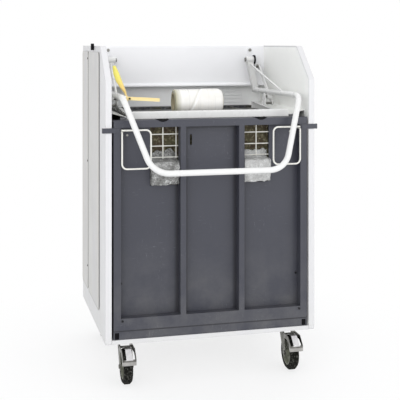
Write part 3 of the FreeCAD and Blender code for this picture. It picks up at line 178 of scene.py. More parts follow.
def mask_group(name, inputs, outputs=("Mask",)):
    """An empty group of float sockets, with its two end nodes."""
    tree = bpy.data.node_groups.new(name, "ShaderNodeTree")
    new_socket = tree.interface.new_socket
    for label, value in inputs.items():
        new_socket(name=label, in_out="INPUT", socket_type="NodeSocketFloat").default_value = value
    for label in outputs:
        new_socket(name=label, in_out="OUTPUT", socket_type="NodeSocketFloat")
    start = tree.nodes.new("NodeGroupInput").outputs
    return tree, start, tree.nodes.new("NodeGroupOutput").inputs


def build_coat_group():
    """Orange peel and faint unevenness of a sprayed coat."""
    tree, start, end = mask_group("Sprayed coat", {"Peel Scale": PEEL_SCALE, "Unevenness": 0.5},
                                  ("Height", "Tone", "Roughness"))
    where = place_on_machine(tree)
    cloud = noise(tree, where, 5.0, 4, 0.6)
    tone = math_node(tree, "MULTIPLY", ramp(tree, cloud, 0.35, 0.7), start["Unevenness"])
    feed(tree, end["Height"], noise(tree, where, start["Peel Scale"], 2))
    feed(tree, end["Tone"], tone)
    feed(tree, end["Roughness"], ramp(tree, cloud, 0.3, 0.7, -0.04, 0.05))
    return tree


def build_scuff_group():
    """Sparse fine scratches and rubbed spots."""
    tree, start, end = mask_group("Scuffs", {"Scale": SCUFF_SCALE, "Amount": 0.5})
    where = place_on_machine(tree)
    scratches = []
    for turn, stretch in ((0.35, (1, 1, 9)), (1.2, (7, 1, 1))):
        along = stretched(tree, where, stretch, (0, turn, turn))
        lines = noise(tree, along, start["Scale"], 6, 0.7)
        scratches.append(ramp(tree, lines, 0.62, 0.70))
    patch = patches(tree, where, 3.0, 0.42, 0.62, detail=2)
    both = math_node(tree, "MAXIMUM", *scratches)
    feed(tree, end["Mask"], math_node(tree, "MULTIPLY", both, patch, start["Amount"]))
    return tree


def build_dust_group():
    """Dust that gathers towards the floor and in low patches."""
    tree, start, end = mask_group("Floor dust", {"Bottom": DUST_FOOT, "Reach": DUST_REACH})
    where = place_on_machine(tree)
    axes = axes_on_machine(tree)
    above = math_node(tree, "SUBTRACT", axes["Z"], start["Bottom"])
    low = fade(tree, math_node(tree, "DIVIDE", above, start["Reach"]), 0.0, 1.0)
    cloud = patches(tree, where, 9.0, 0.35, 0.75, detail=5, roughness=0.65)
    feed(tree, end["Mask"], math_node(tree, "MULTIPLY", low, cloud))
    return tree


def build_streak_group():
    """Vertical runs left by cleaning and by hands."""
    tree, start, end = mask_group("Streaks", {"Scale": 14.0, "Length": STREAK_LENGTH})
    where = place_on_machine(tree)
    axes = axes_on_machine(tree)
    tall = add(tree, "ShaderNodeCombineXYZ", x=axes["X"], y=axes["Y"],
               z=math_node(tree, "MULTIPLY", axes["Z"], start["Length"]))
    runs = noise(tree, tall.outputs["Vector"], start["Scale"], 4, 0.6)
    broken = patches(tree, where, 4.0, 0.35, 0.65, bottom=0.3, detail=4, roughness=0.6)
    feed(tree, end["Mask"], math_node(tree, "MULTIPLY", ramp(tree, runs, 0.42, 0.66), broken))
    return tree


coat_group = build_coat_group()
scuff_group = build_scuff_group()
dust_group = build_dust_group()
streak_group = build_streak_group()


def place_group(tree, which, **values):
    """A shared effect placed in a material, with this finish's own values."""
    return add(tree, "ShaderNodeGroup", node_tree=which, **values).outputs


def new_material(name, roughness, metallic=0.0):
    material = bpy.data.materials.new(name)
    material.use_nodes = True
    shader = material.node_tree.nodes["Principled BSDF"].inputs
    shader["Roughness"].default_value = roughness
    shader["Metallic"].default_value = metallic
    return material, material.node_tree, shader


def bump(tree, shader, height, strength, distance, edge=0.0):
    """Fine relief on the surface, over edges rounded by that radius."""
    node = add(tree, "ShaderNodeBump", strength=strength, distance=distance)
    feed(tree, node.inputs["Height"], height)
    feed(tree, shader["Normal"], node.outputs["Normal"])
    if edge:
        soft_edge = add(tree, "ShaderNodeBevel", samples=4, radius=edge)
        feed(tree, node.inputs["Normal"], soft_edge.outputs["Normal"])


def lay_over(material, share, colour):
    """Lays a colour over a finish, where a mask says so."""
    tree = material.node_tree
    base = tree.nodes["Principled BSDF"].inputs["Base Color"]
    feed(tree, base, mix_colour(tree, share, base.links[0].from_socket, colour))
    return material


def coated_metal(name, colour, dust, scuff, roughness=0.38, uneven=0.35, scuff_amount=0.5,
                 dust_amount=0.5, dust_foot=DUST_FOOT):
    """Powder-coated sheet: peel, faint unevenness, scuffs, and dust near the floor."""
    material, tree, shader = new_material(name, roughness)
    coat = place_group(tree, coat_group, peel_scale=PEEL_SCALE, unevenness=uneven)
    scuffs = place_group(tree, scuff_group, scale=SCUFF_SCALE, amount=scuff_amount)
    low_dust = place_group(tree, dust_group, bottom=dust_foot, reach=DUST_REACH)
    duller = tuple(DULLER * c for c in colour[:3]) + (1,)
    rubbed = mix_colour(tree, scuffs["Mask"], mix_colour(tree, coat["Tone"], colour, duller), scuff)
    share = math_node(tree, "MULTIPLY", low_dust["Mask"], dust_amount)
    feed(tree, shader["Base Color"], mix_colour(tree, share, rubbed, dust))
    dusty = math_node(tree, "MULTIPLY", share, DUSTY_ROUGHNESS)
    feed(tree, shader["Roughness"], math_node(tree, "ADD", coat["Roughness"], roughness, dusty))
    bump(tree, shader, coat["Height"], 0.25, PEEL_DEPTH, FOLD_RADIUS)
    return material


def streaked(material, colour, amount, scale=14.0):
    """Lays vertical streaks of a colour over a coat."""
    tree = material.node_tree
    runs = place_group(tree, streak_group, scale=scale)
    return lay_over(material, math_node(tree, "MULTIPLY", runs["Mask"], amount), colour)


def joint_dirt_and_shade(material, foot_share=0.0):
    """Dirt and painted shade in the covers' gap, on the wall behind it, and along the covers' feet.
    """
    tree = material.node_tree
    axes = axes_on_machine(tree)
    beside = fade(tree, distance_from(tree, axes["Y"], COVER_JOINT_Y), *JOINT_REACH, 0.85)
    above = ramp(tree, axes["Z"], COVER_LOW.z, COVER_LOW.z + JOINT_END)
    below = fade(tree, axes["Z"], COVER_HIGH.z - JOINT_END, COVER_HIGH.z)
    line = math_node(tree, "MULTIPLY", beside, above, below)
    foot = fade(tree, distance_from(tree, axes["Z"], COVER_LOW.z), *FOOT_REACH, foot_share)
    return lay_over(material, math_node(tree, "MAXIMUM", line, foot), JOINT_DIRT_AND_SHADE)


def finish_nodes(material, *names):
    """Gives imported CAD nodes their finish."""
    for name in names:
        slots = nodes_by_name[name].material_slots
        if not slots:
            nodes_by_name[name].data.materials.append(material)
        for slot in slots:
            slot.material = material


def housing_coat(name):
    material = coated_metal(name, HOUSING_WHITE, HOUSING_DUST, HOUSING_SCUFF)
    return streaked(material, HOUSING_DUST, 0.25)


finish_nodes(housing_coat("housing_white"), "rear_cover", "base_frame")
finish_nodes(joint_dirt_and_shade(housing_coat("wall_white")), "wall_left", "wall_right")
# The hood and pivot brackets take a lighter copy of the white coat: painted light.
hood_white_lit = coated_metal("hood_white_lit", HOOD_WHITE_LIT, HOUSING_DUST, HOOD_SCUFF, scuff_amount=0.3)
finish_nodes(hood_white_lit, "hood_panel", "pivot_brackets")
# The side covers take a darker copy of the white coat: painted shade.
cover_white_shaded = coated_metal("cover_white_shaded", COVER_WHITE_SHADED, HOUSING_DUST, COVER_SCUFF, uneven=0.6)
streaked(cover_white_shaded, COVER_LILAC, 0.5, 5.0)
streaked(cover_white_shaded, COVER_CREAM, 0.5, 8.0)
finish_nodes(joint_dirt_and_shade(cover_white_shaded, 0.4), "side_covers")


# Inner sheets: the walls' liners, the chute ledges beside the chamber and the sheet under the hood.
# Their white is the housing's coat painted brighter, as painted light where they sit in shade. The
# ledges take the marks of card that is pushed down past them, and grease from the lever's hinge
# lies in blotches on the left.

# The inner and recess whites are painted brighter than the housing's: painted light on sheets in
# shade.
INNER_WHITE_LIT = (0.93, 0.935, 0.91, 1)
INNER_SCUFF = (0.50, 0.50, 0.48, 1)
INNER_DUST_FOOT = 1.2
LEDGE_SCUFF = (0.16, 0.16, 0.15, 1)
RECESS_WHITE_LIT = (0.93, 0.935, 0.93, 1)
GREASE = (0.07, 0.07, 0.065, 1)
GREASE_EDGE_X = (-0.375, -0.355)   # left of these the grease is whole, right of them there is none


def greased(material):
    """Dark grease in blotches, on the side of the machine where the lever is worked."""
    tree = material.node_tree
    where = place_on_machine(tree)
    axes = axes_on_machine(tree)
    side = fade(tree, axes["X"], *GREASE_EDGE_X)
    blotches = patches(tree, where, 42.0, 0.44, 0.54, top=0.85, detail=5, roughness=0.7)
    return lay_over(material, math_node(tree, "MULTIPLY", side, blotches), GREASE)


inner_white_lit = coated_metal("inner_white_lit", INNER_WHITE_LIT, HOUSING_DUST, INNER_SCUFF, uneven=0.25,
                           scuff_amount=0.4, dust_amount=0.15, dust_foot=INNER_DUST_FOOT)
finish_nodes(inner_white_lit, "wall_liners")
ledge_white_lit = coated_metal("ledge_white_lit", INNER_WHITE_LIT, HOUSING_DUST, LEDGE_SCUFF, uneven=0.9,
                           scuff_amount=1.0, dust_foot=INNER_DUST_FOOT)
finish_nodes(greased(ledge_white_lit), "chute_ledges")
recess_white_lit = coated_metal("recess_white_lit", RECESS_WHITE_LIT, HOUSING_DUST, INNER_SCUFF, uneven=0.2,
                            scuff_amount=0.3, dust_amount=0.1, dust_foot=INNER_DUST_FOOT)
finish_nodes(recess_white_lit, "recess_panel")


# Black trim and screws: the buffer on the wall, the sill's plugs and the seals, the spacer discs,
# the tube's plugs and the strap guides, moulded in polyamide with a fine spark-eroded grain.
# The screws' heads are grey with age.

BLACK_PLASTIC = (0.006, 0.006, 0.007, 1)
SCREW_GREY = (0.10, 0.095, 0.09, 1)
GRAIN_DEPTH = 0.0003


def moulded(name, colour, roughness, grain=900.0, gloss=0.5):
    """Moulded grain, a little paler in clouds."""
    material, tree, shader = new_material(name, roughness)
    shader["Specular IOR Level"].default_value = gloss
    where = place_on_machine(tree)
    cloud = patches(tree, where, 14.0, 0.3, 0.7)
    paler = tuple(min(1.0, 1.5 * c + 0.004) for c in colour[:3]) + (1,)
    share = math_node(tree, "MULTIPLY", cloud, 0.4)
    feed(tree, shader["Base Color"], mix_colour(tree, share, colour, paler))
    feed(tree, shader["Roughness"], ramp(tree, cloud, 0, 1, roughness - 0.05, roughness + 0.08))
    bump(tree, shader, noise(tree, where, grain, 2), 0.3, GRAIN_DEPTH)
    return material


black_plastic = moulded("black_plastic", BLACK_PLASTIC, 0.75, gloss=0.04)
finish_nodes(black_plastic, "black_trim", "pivot_caps", "tube_plugs", "strap_guides",
             "release_screw")
finish_nodes(moulded("screw_grey", SCREW_GREY, 0.45), "housing_screws")


# Pressing chamber: floor, sides and rear sheet, folded and bolted into the housing.
# Dark enamelled sheet, rubbed grey where card and film are pressed along it.

CHAMBER_GREY = (0.105, 0.107, 0.118, 1)
CHAMBER_DUST = (0.25, 0.24, 0.22, 1)
CHAMBER_RUBBED = (0.33, 0.33, 0.34, 1)

chamber_enamel = coated_metal("chamber_enamel", CHAMBER_GREY, CHAMBER_DUST, CHAMBER_RUBBED,
                              roughness=0.45, uneven=0.5, scuff_amount=1.0)
finish_nodes(chamber_enamel, "chamber_floor", "chamber_sides", "chamber_rear")


# Lever: the bent tube with its welded sleeves, struts and braces, the swing arms, and the press
# plate's beam and lugs, all in a glossy white coat that is handled every day.
# The left lug and swing arm are blotched with grease.

LEVER_WHITE = (0.71, 0.71, 0.70, 1)
LEVER_SCUFF = (0.66, 0.66, 0.63, 1)


def lever_coat(name, scuff_amount):
    return coated_metal(name, LEVER_WHITE, HOUSING_DUST, LEVER_SCUFF, roughness=0.27, uneven=0.3,
                        scuff_amount=scuff_amount, dust_amount=0.0)


lever_white = lever_coat("lever_white", 0.4)
finish_nodes(lever_white, "lever_tube", "lever_struts", "lever_braces", "plate_beam",
             "swing_arm_right")
greasy_white = greased(lever_coat("greasy_white", 0.5))
finish_nodes(greasy_white, "plate_lugs", "swing_arm_left")


# Press plate: a folded deck in dark enamel, worn through to grey and smeared olive where bales are
# dragged over it. A folded rail in the lever's white stiffens each side of it, tall behind and low
# in front.

DECK_ENAMEL = (0.022, 0.022, 0.028, 1)
DECK_WORN = (0.26, 0.26, 0.25, 1)
DECK_OLIVE = (0.065, 0.060, 0.035, 1)
DECK_LOW, DECK_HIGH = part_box("plate_deck")
RAIL_SHEET = 0.0025
RAIL_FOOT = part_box("plate_lugs")[0].z + 0.0003   # the deck's sheet, with room for its coat
RAIL_OUT = 0.384          # outer face of the right rail, clear of the hinge lug beside it
RAIL_WIDTH = 0.016
RAIL_REAR_HEIGHT = 0.038
RAIL_FRONT_HEIGHT = 0.010
RAIL_FRONT = DECK_LOW.y + 0.035
RAIL_REAR = DECK_HIGH.y - 0.045
RAIL_EDGE = 0.0006
RAIL_SHARP = 0.5          # radians, past which an edge is rounded
RAIL_OPEN = 0.9           # how squarely a face looks down or inwards to be left open


def build_worn_deck():
    """Enamel with olive smears and worn patches, drawn out from front to rear."""
    material, tree, shader = new_material("worn_deck", 0.5)
    where = place_on_machine(tree)
    smears = stretched(tree, where, (1, 0.22, 1))
    worn = patches(tree, smears, 48.0, 0.50, 0.70, top=0.75, detail=6, roughness=0.75)
    olive = patches(tree, smears, 21.0, 0.50, 0.62, top=0.8, detail=4, roughness=0.6)
    stained = mix_colour(tree, olive, DECK_ENAMEL, DECK_OLIVE)
    feed(tree, shader["Base Color"], mix_colour(tree, worn, stained, DECK_WORN))
    feed(tree, shader["Roughness"], ramp(tree, worn, 0, 1, 0.35, 0.65))
    bump(tree, shader, worn, 0.3, 0.0006, edge=0.0012)
    return material


def object_from(shape, name, material):
    """An object in the scene, made from a bmesh and given its finish."""
    mesh = bpy.data.meshes.new(name)
    shape.to_mesh(mesh)
    shape.free()
    mesh.materials.append(material)
    thing = bpy.data.objects.new(name, mesh)
    bpy.context.scene.collection.objects.link(thing)
    return thing


def piece_from(shape, name, body, material):
    """A finished piece made from a bmesh, which rides on a body."""
    piece = object_from(shape, name, material)
    piece.data.shade_smooth()
    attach(piece, body)
    return piece


def deck_rail(name, side, material):
    """A folded angle on the deck: it tapers from rear to front and has a lip turned inwards."""
    shape = bmesh.new()
    bmesh.ops.create_cube(shape, size=1.0)
    for vert in shape.verts:
        at_rear, on_top, outside = vert.co.y > 0, vert.co.z > 0, vert.co.x * side > 0
        height = RAIL_REAR_HEIGHT if at_rear else RAIL_FRONT_HEIGHT
        vert.co.x = side * (RAIL_OUT if outside else RAIL_OUT - RAIL_WIDTH)
        vert.co.y = RAIL_REAR if at_rear else RAIL_FRONT
        vert.co.z = RAIL_FOOT + (height if on_top else 0)
    bmesh.ops.recalc_face_normals(shape, faces=shape.faces)
    hollow = [face for face in shape.faces
              if face.normal.z < -RAIL_OPEN or face.normal.x * side < -RAIL_OPEN]
    bmesh.ops.delete(shape, geom=hollow, context="FACES")
    bmesh.ops.solidify(shape, geom=shape.faces, thickness=RAIL_SHEET)
    bmesh.ops.recalc_face_normals(shape, faces=shape.faces)
    sharp = [edge for edge in shape.edges if edge.calc_face_angle(0) > RAIL_SHARP]
    bmesh.ops.bevel(shape, geom=sharp, offset=RAIL_EDGE, segments=2, profile=0.5, affect="EDGES",
                    material=-1)
    rail = piece_from(shape, name, "plate", material)
    rail.data.shade_flat()


finish_nodes(build_worn_deck(), "plate_deck")
deck_rail("deck_rail_right", 1, lever_white)
deck_rail("deck_rail_left", -1, greasy_white)


# Release lever: one yellow moulding with a soft sheen, lemon at the grip's top, deep orange at its
# waist, and pale along the bar that lies across the press plate.

LEMON = (0.76, 0.68, 0.13, 1)
ORANGE = (0.74, 0.53, 0.17, 1)
PALE_YELLOW = (0.78, 0.66, 0.34, 1)
RELEASE_LOW, RELEASE_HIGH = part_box("release_lever")
RELEASE_WAIST = RELEASE_LOW.z + 0.35 * (RELEASE_HIGH.z - RELEASE_LOW.z)


def build_yellow():
    material, tree, shader = new_material("yellow_plastic", 0.36)
    where = place_on_machine(tree)
    axes = axes_on_machine(tree)
    cloud = math_node(tree, "MULTIPLY", noise(tree, where, 30.0), 0.03)
    height = math_node(tree, "ADD", axes["Z"], cloud)
    to_waist = ramp(tree, height, RELEASE_LOW.z + 0.03, RELEASE_WAIST + 0.02)
    to_top = ramp(tree, height, RELEASE_WAIST + 0.03, RELEASE_HIGH.z - 0.04)
    low = mix_colour(tree, to_waist, PALE_YELLOW, ORANGE)
    feed(tree, shader["Base Color"], mix_colour(tree, to_top, low, LEMON))
    feed(tree, shader["Roughness"],
         patches(tree, where, 45.0, 0.35, 0.7, bottom=0.30, top=0.46, detail=4))
    bump(tree, shader, noise(tree, where, 700.0, 2), 0.3, GRAIN_DEPTH, edge=0.0012)
    return material


finish_nodes(build_yellow(), "release_lever")


# Film roll: clear stretch film wound on a card core, square at the left end and rounded at the
# The edges of its turns show at its ends, and its last turn is a flap whose slanting edge
# lies over the roll's front, with a painted highlight and a painted shadow along that edge.

ROLL_LOW, ROLL_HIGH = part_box("film_roll")
CORE_LOW, CORE_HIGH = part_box("roll_core")
ROLL_RADIUS = (ROLL_HIGH.z - ROLL_LOW.z) / 2
ROLL_BORE = (CORE_HIGH.z - CORE_LOW.z) / 2 + 0.0003
ROLL_SHOULDER = 0.014     # the rounding of the left end
ROLL_DOME_LENGTH = 0.028  # the rounding of the right end, along the axis and inwards
ROLL_DOME = 0.016
END_RIDGE = 0.0006        # how far every other turn's edge stands back
END_STEPS, SHOULDER_STEPS, TOP_STEPS, DOME_STEPS = 12, 4, 48, 8
ROLL_SIDES = 120
ROLL_MERGE = 0.00002
ROLL_TURN = 0.0022        # the step down from the last turn to the one below it
ROLL_SAG = 0.0008
SAG_SCALE = 26
SAG_START = 0.002         # the bore stays round, up to this far out from it
SAG_WHOLE = 0.02          # and the sag is whole from here on
FLAP_FRONT_X = -0.050
FLAP_TOP_X = -0.005
FLAP_EDGE = 0.003
ROLL_FILM = (0.73, 0.715, 0.68, 1)
ROLL_MILKY = (0.78, 0.76, 0.71, 1)
ROLL_CLOUDY = (0.79, 0.78, 0.76, 1)
# colours of the painted shadow and painted highlight along the flap's edge
FLAP_PAINTED_SHADOW = (0.50, 0.49, 0.44, 1)
FLAP_PAINTED_HIGHLIGHT = (0.92, 0.92, 0.91, 1)
ROLL_ENDS_AND_SHADE = (0.40, 0.38, 0.27, 1)
CARD = (0.34, 0.30, 0.20, 1)


def clamped(value, low=0.0, high=1.0):
    return max(low, min(high, value))


def roll_profile():
    """Half of the roll's section, from the bore's left end round the outside and back."""
    length = ROLL_HIGH.x - ROLL_LOW.x
    left_edge = 0.3 * ROLL_SHOULDER
    right_edge = length - ROLL_DOME_LENGTH
    rim = ROLL_RADIUS - ROLL_SHOULDER
    left = [(END_RIDGE * (step % 2), ROLL_BORE + (rim - ROLL_BORE) * step / END_STEPS)
            for step in range(END_STEPS + 1)]
    shoulder = [(left_edge * step / SHOULDER_STEPS,
                 rim + ROLL_SHOULDER * math.sin(math.pi / 2 * step / SHOULDER_STEPS))
                for step in range(1, SHOULDER_STEPS)]
    top = [(left_edge + (right_edge - left_edge) * step / TOP_STEPS, ROLL_RADIUS)
           for step in range(TOP_STEPS + 1)]
    dome = []
    for step in range(1, DOME_STEPS + 1):
        turn = math.pi / 2 * step / DOME_STEPS
        dome.append((right_edge + ROLL_DOME_LENGTH * math.sin(turn),
                     ROLL_RADIUS - ROLL_DOME * (1 - math.cos(turn))))
    right = [(length - along, radius) for along, radius in reversed(left)
             if radius < dome[-1][1] - 0.001]
    return left + shoulder + top + dome + right


def flap_highlight_and_shadow(past_edge):
    """A painted highlight just past the flap's edge, above 0, and a painted shadow before it, below
    0.
    """
    bright = math.exp(-((past_edge - 0.002) / 0.004) ** 2)
    dull = math.exp(-((past_edge + 0.008) / 0.005) ** 2)
    return bright - 0.7 * dull


def wound_roll(material):
    middle = (ROLL_LOW + ROLL_HIGH) / 2
    axis = Vector((ROLL_LOW.x, middle.y, middle.z))
    shape = bmesh.new()
    points = [shape.verts.new(axis + Vector((along, 0, radius)))
              for along, radius in roll_profile()]
    edges = [shape.edges.new(pair) for pair in zip(points, points[1:] + points[:1])]
    bmesh.ops.spin(shape, geom=points + edges, cent=axis, axis=(1, 0, 0), angle=2 * math.pi,
                   steps=ROLL_SIDES, use_merge=True)
    bmesh.ops.remove_doubles(shape, verts=shape.verts, dist=ROLL_MERGE)
    bmesh.ops.recalc_face_normals(shape, faces=shape.faces)
    flap_light = shape.verts.layers.float.new("flap_painted_light")
    for vert in shape.verts:
        arm = vert.co - axis
        arm.x = 0
        if arm.length < ROLL_BORE + SAG_START:
            continue
        turn = clamped(math.atan2(arm.z, -arm.y) / (math.pi / 2), -0.5, 1.4)
        past_edge = vert.co.x - (FLAP_FRONT_X + (FLAP_TOP_X - FLAP_FRONT_X) * turn)
        vert[flap_light] = flap_highlight_and_shadow(past_edge)
        step_down = clamped(-past_edge / FLAP_EDGE) * ROLL_TURN
        sag = ROLL_SAG * (1 + field.noise(vert.co * SAG_SCALE))
        share = min(1.0, (arm.length - ROLL_BORE) / SAG_WHOLE)
        vert.co -= arm.normalized() * share * (step_down + sag)
    roll = piece_from(shape, "wound_film", "plate", material)
    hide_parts("film_roll")


def build_roll_film():
    """Milky film with faint rings, the turns' olive edges at the roll's ends, and painted shade
    there.
    """
    material, tree, shader = new_material("roll_film", 0.3)
    where = place_on_machine(tree)
    axes = axes_on_machine(tree)
    rings = noise(tree, stretched(tree, where, (90, 3, 3)), 1.5, 4)
    clouds = patches(tree, where, 22.0, 0.4, 0.75, detail=4)
    film = mix_colour(tree, ramp(tree, rings, 0.35, 0.7), ROLL_FILM, ROLL_MILKY)
    film = mix_colour(tree, clouds, film, ROLL_CLOUDY)
    # A painted shadow and a painted highlight along the flap's edge.
    flap_light = add(tree, "ShaderNodeAttribute", attribute_name="flap_painted_light").outputs["Fac"]
    film = mix_colour(tree, ramp(tree, flap_light, 0.0, -0.7, 0.0, 0.55), film, FLAP_PAINTED_SHADOW)
    film = mix_colour(tree, ramp(tree, flap_light, 0.0, 1.0), film, FLAP_PAINTED_HIGHLIGHT)
    # The left end darkens over a wide band as painted shade; the right end keeps a narrow band of
    # turns' edges.
    left_end = fade(tree, axes["X"], ROLL_LOW.x + 0.003, ROLL_LOW.x + 0.034)
    right_end = ramp(tree, axes["X"], ROLL_HIGH.x - 0.006, ROLL_HIGH.x - 0.002)
    ends = math_node(tree, "MAXIMUM", left_end, right_end)
    feed(tree, shader["Base Color"], mix_colour(tree, ends, film, ROLL_ENDS_AND_SHADE))
    feed(tree, shader["Roughness"], ramp(tree, rings, 0.3, 0.7, 0.22, 0.42))
    bump(tree, shader, rings, 0.35, 0.001)
    return material


wound_roll(build_roll_film())
finish_nodes(moulded("card_brown", CARD, 0.85, 500.0), "roll_core")


# Door: a welded frame of channels in front of a recessed sheet, on a folded sill, in a dark powder
# coat that is scuffed along its edges and dusty near the sill.
# Dirt lies in the joint over the sill, and painted shade in the sheet's corners along the posts and
# under the top rail.

DOOR_GREY = (0.042, 0.044, 0.059, 1)
DOOR_DUST = (0.23, 0.225, 0.21, 1)
DOOR_SCUFF = (0.21, 0.215, 0.24, 1)
# dirt in the sill's joint and on the bolts, and painted shade in the door sheet's corners
SEAM_DIRT_AND_SHADE = (0.012, 0.012, 0.016, 1)
SEAM_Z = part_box("front_sill")[1].z
SEAM_REACH = (0.002, 0.0045)
POST_EDGES = (0.128, 0.155)    # both edges of each middle post, out from the door's middle
CORNER_REACH = (0.008, 0.022)
TOP_RAIL_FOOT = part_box("door_frame")[1].z - 0.034


def door_coat(name):
    return coated_metal(name, DOOR_GREY, DOOR_DUST, DOOR_SCUFF, roughness=0.42, uneven=0.4,
                        dust_amount=0.3)


def seam_dirt(material):
    """Dirt in the joint between the door's foot and the sill."""
    tree = material.node_tree
    axes = axes_on_machine(tree)
    off_seam = distance_from(tree, axes["Z"], SEAM_Z)
    return lay_over(material, fade(tree, off_seam, *SEAM_REACH, 0.8), SEAM_DIRT_AND_SHADE)


def corner_shade(material):
    """Painted shade on the door's sheet, in the corners along the posts and under the top rail."""
    tree = material.node_tree
    axes = axes_on_machine(tree)
    across = math_node(tree, "ABSOLUTE", axes["X"])
    shares = [fade(tree, distance_from(tree, across, edge), *CORNER_REACH, 0.7)
              for edge in POST_EDGES]
    shares.append(ramp(tree, axes["Z"], TOP_RAIL_FOOT - 0.016, TOP_RAIL_FOOT - 0.006, 0.0, 0.7))
    return lay_over(material, math_node(tree, "MAXIMUM", *shares), SEAM_DIRT_AND_SHADE)


door_grey = seam_dirt(door_coat("door_coat"))
finish_nodes(door_grey, "door_frame", "cover_plates", "door_tabs", "front_sill")
finish_nodes(corner_shade(door_coat("skin_coat")), "door_skin")


# Wire handles and window guards: steel wire, bent, welded and dipped in a cream coat.
# Hands and hooks have scuffed it.

WIRE_WHITE = (0.76, 0.75, 0.70, 1)
WIRE_SCUFF = (0.45, 0.44, 0.40, 1)

wire_coat = coated_metal("wire_coat", WIRE_WHITE, HOUSING_DUST, WIRE_SCUFF, roughness=0.33,
                         scuff_amount=0.6)
finish_nodes(wire_coat, "handle_loop_left", "handle_loop_right", "window_guards")


# Film in the windows: clear stretch film, crumpled by hand and pushed through the lower half of
# each window. It swells out over the window's foot, and its torn hem hangs in points.
# The right window's film is doubled over and milkier.

FILM_FLAT = (0.22, 0.22, 0.21, 1)
# white of the folds, partly painted highlights
FILM_CREASE_AND_HIGHLIGHT = (0.97, 0.98, 0.97, 1)
FILM_SEE_THROUGH = 0.45   # opacity between the creases
MILKY_FLAT = (0.56, 0.56, 0.55, 1)
MILKY_SEE_THROUGH = 0.72
FOLD_LINES = ((32.0, 0.026, 1.0), (70.0, 0.030, 1.0), (150.0, 0.034, 0.8))   # scale, width, share
FILM_CUTS = 44
FILM_GAP = 0.0012         # kept free all round, inside the CAD solid
FILM_DEPTH = 0.007        # how deep the crumples go
CRUMPLE_SCALE = 30
FILM_BACK = -0.2765       # the film's rear face, ahead of the card
FILM_THIN = 0.011         # its thickness behind the guard
FILM_BELLY = 0.014        # how far its belly falls back down to the hem
BELLY_REACH = 0.045       # over this height
HEM_POINTS = 0.007        # the points of the torn hem, which fade out over HEM_REACH
HEM_REACH = 0.06
HEM_SCALE = 34
CROWN_DROP = 0.03         # the dips in the top edge, which fade out over CROWN_REACH
CROWN_REACH = 0.08
CROWN_SCALE = 18
SIDE_PULL = 0.010         # how far the sides fall back from the middle
GUARD_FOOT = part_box("window_guards")[0].z - 0.006
GUARD_REACH = 0.008       # the belly draws back behind the guard over this height
NEXT_FOLDS = Vector((3.1, 1.7, 5.3))   # each finer set of folds is moved, scaled and flattened
FINER = 2.1


def crease(place, scale, steps=4):
    """Sharp folds with slack film between them, from 0 to 1."""
    height = 0.0
    share = 0.5
    for _ in range(steps):
        height += share * (1 - 2 * abs(field.noise(place * scale)))
        place = place.yzx + NEXT_FOLDS
        scale *= FINER
        share /= 2
    return clamped(height)


def film_front(place, low):
    """The film's front face at that height: a belly over the foot, thin behind the guard."""
    behind_guard = clamped((place.z - GUARD_FOOT) / GUARD_REACH)
    above_hem = clamped((place.z - low.z) / BELLY_REACH)
    belly = low.y + FILM_GAP + FILM_BELLY * (1 - above_hem)
    return belly + (FILM_BACK - FILM_THIN - belly) * behind_guard


def film_wad(name, node, material):
    low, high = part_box(node)
    size = Vector((high.x - low.x, FILM_BACK - low.y, high.z - low.z))
    gap = Vector((FILM_GAP, FILM_GAP, FILM_GAP))
    inner_low = low + gap
    inner_high = Vector((high.x, FILM_BACK, high.z)) - gap
    shape = bmesh.new()
    bmesh.ops.create_cube(shape, size=1.0)
    bmesh.ops.translate(shape, verts=shape.verts, vec=(0.5, 0.5, 0.5))
    bmesh.ops.subdivide_edges(shape, edges=shape.edges, cuts=FILM_CUTS, use_grid_fill=True)
    bmesh.ops.scale(shape, verts=shape.verts, vec=size)
    bmesh.ops.translate(shape, verts=shape.verts, vec=low)
    shape.normal_update()
    for vert in shape.verts:
        place = vert.co.copy()
        across = (place.x - low.x) / size.x
        back = (place.y - low.y) / size.y
        hem = max(0.0, 1 - (place.z - low.z) / HEM_REACH)
        top = max(0.0, 1 - (high.z - place.z) / CROWN_REACH)
        point = HEM_POINTS * crease(Vector((place.x, 0, 0)), HEM_SCALE, 2) * (0.4 + across)
        crown = CROWN_DROP * crease(Vector((place.x, 1, 0)), CROWN_SCALE, 2)
        front = film_front(place, low)
        side_pull = SIDE_PULL * abs(2 * across - 1) ** 4 * (1 - back)
        vert.co.y = front + side_pull + (FILM_BACK - front) * back
        vert.co.z += point * hem - crown * top
        vert.co -= vert.normal * FILM_DEPTH * (1 - crease(place, CRUMPLE_SCALE))
        for axis in range(3):
            vert.co[axis] = clamped(vert.co[axis], inner_low[axis], inner_high[axis])
    bmesh.ops.recalc_face_normals(shape, faces=shape.faces)
    wad = piece_from(shape, name, "door", material)
    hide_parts(node)


def build_clear_film(name, flat, see_through):
    """See-through film that turns white along its folds, partly as painted highlights."""
    material, tree, shader = new_material(name, 0.14)
    where = place_on_machine(tree)
    lines = []
    for scale, width, share in FOLD_LINES:
        off_fold = distance_from(tree, noise(tree, where, scale, 3, 0.6), 0.5)
        lines.append(fade(tree, off_fold, 0.0, width, share))
    cloud = patches(tree, where, 28.0, 0.42, 0.62, detail=4, roughness=0.6)
    thicker = math_node(tree, "ADD", math_node(tree, "MULTIPLY", cloud, 0.65), 0.35)
    folds = math_node(tree, "MULTIPLY", math_node(tree, "MAXIMUM", *lines), thicker)
    white = math_node(tree, "MAXIMUM", folds, math_node(tree, "MULTIPLY", cloud, 0.30))
    feed(tree, shader["Base Color"], mix_colour(tree, white, flat, FILM_CREASE_AND_HIGHLIGHT))
    feed(tree, shader["Alpha"], ramp(tree, white, 0, 1, see_through, 1.0))
    feed(tree, shader["Roughness"], ramp(tree, white, 0, 1, 0.10, 0.30))
    bump(tree, shader, white, 0.8, 0.003)
    return material


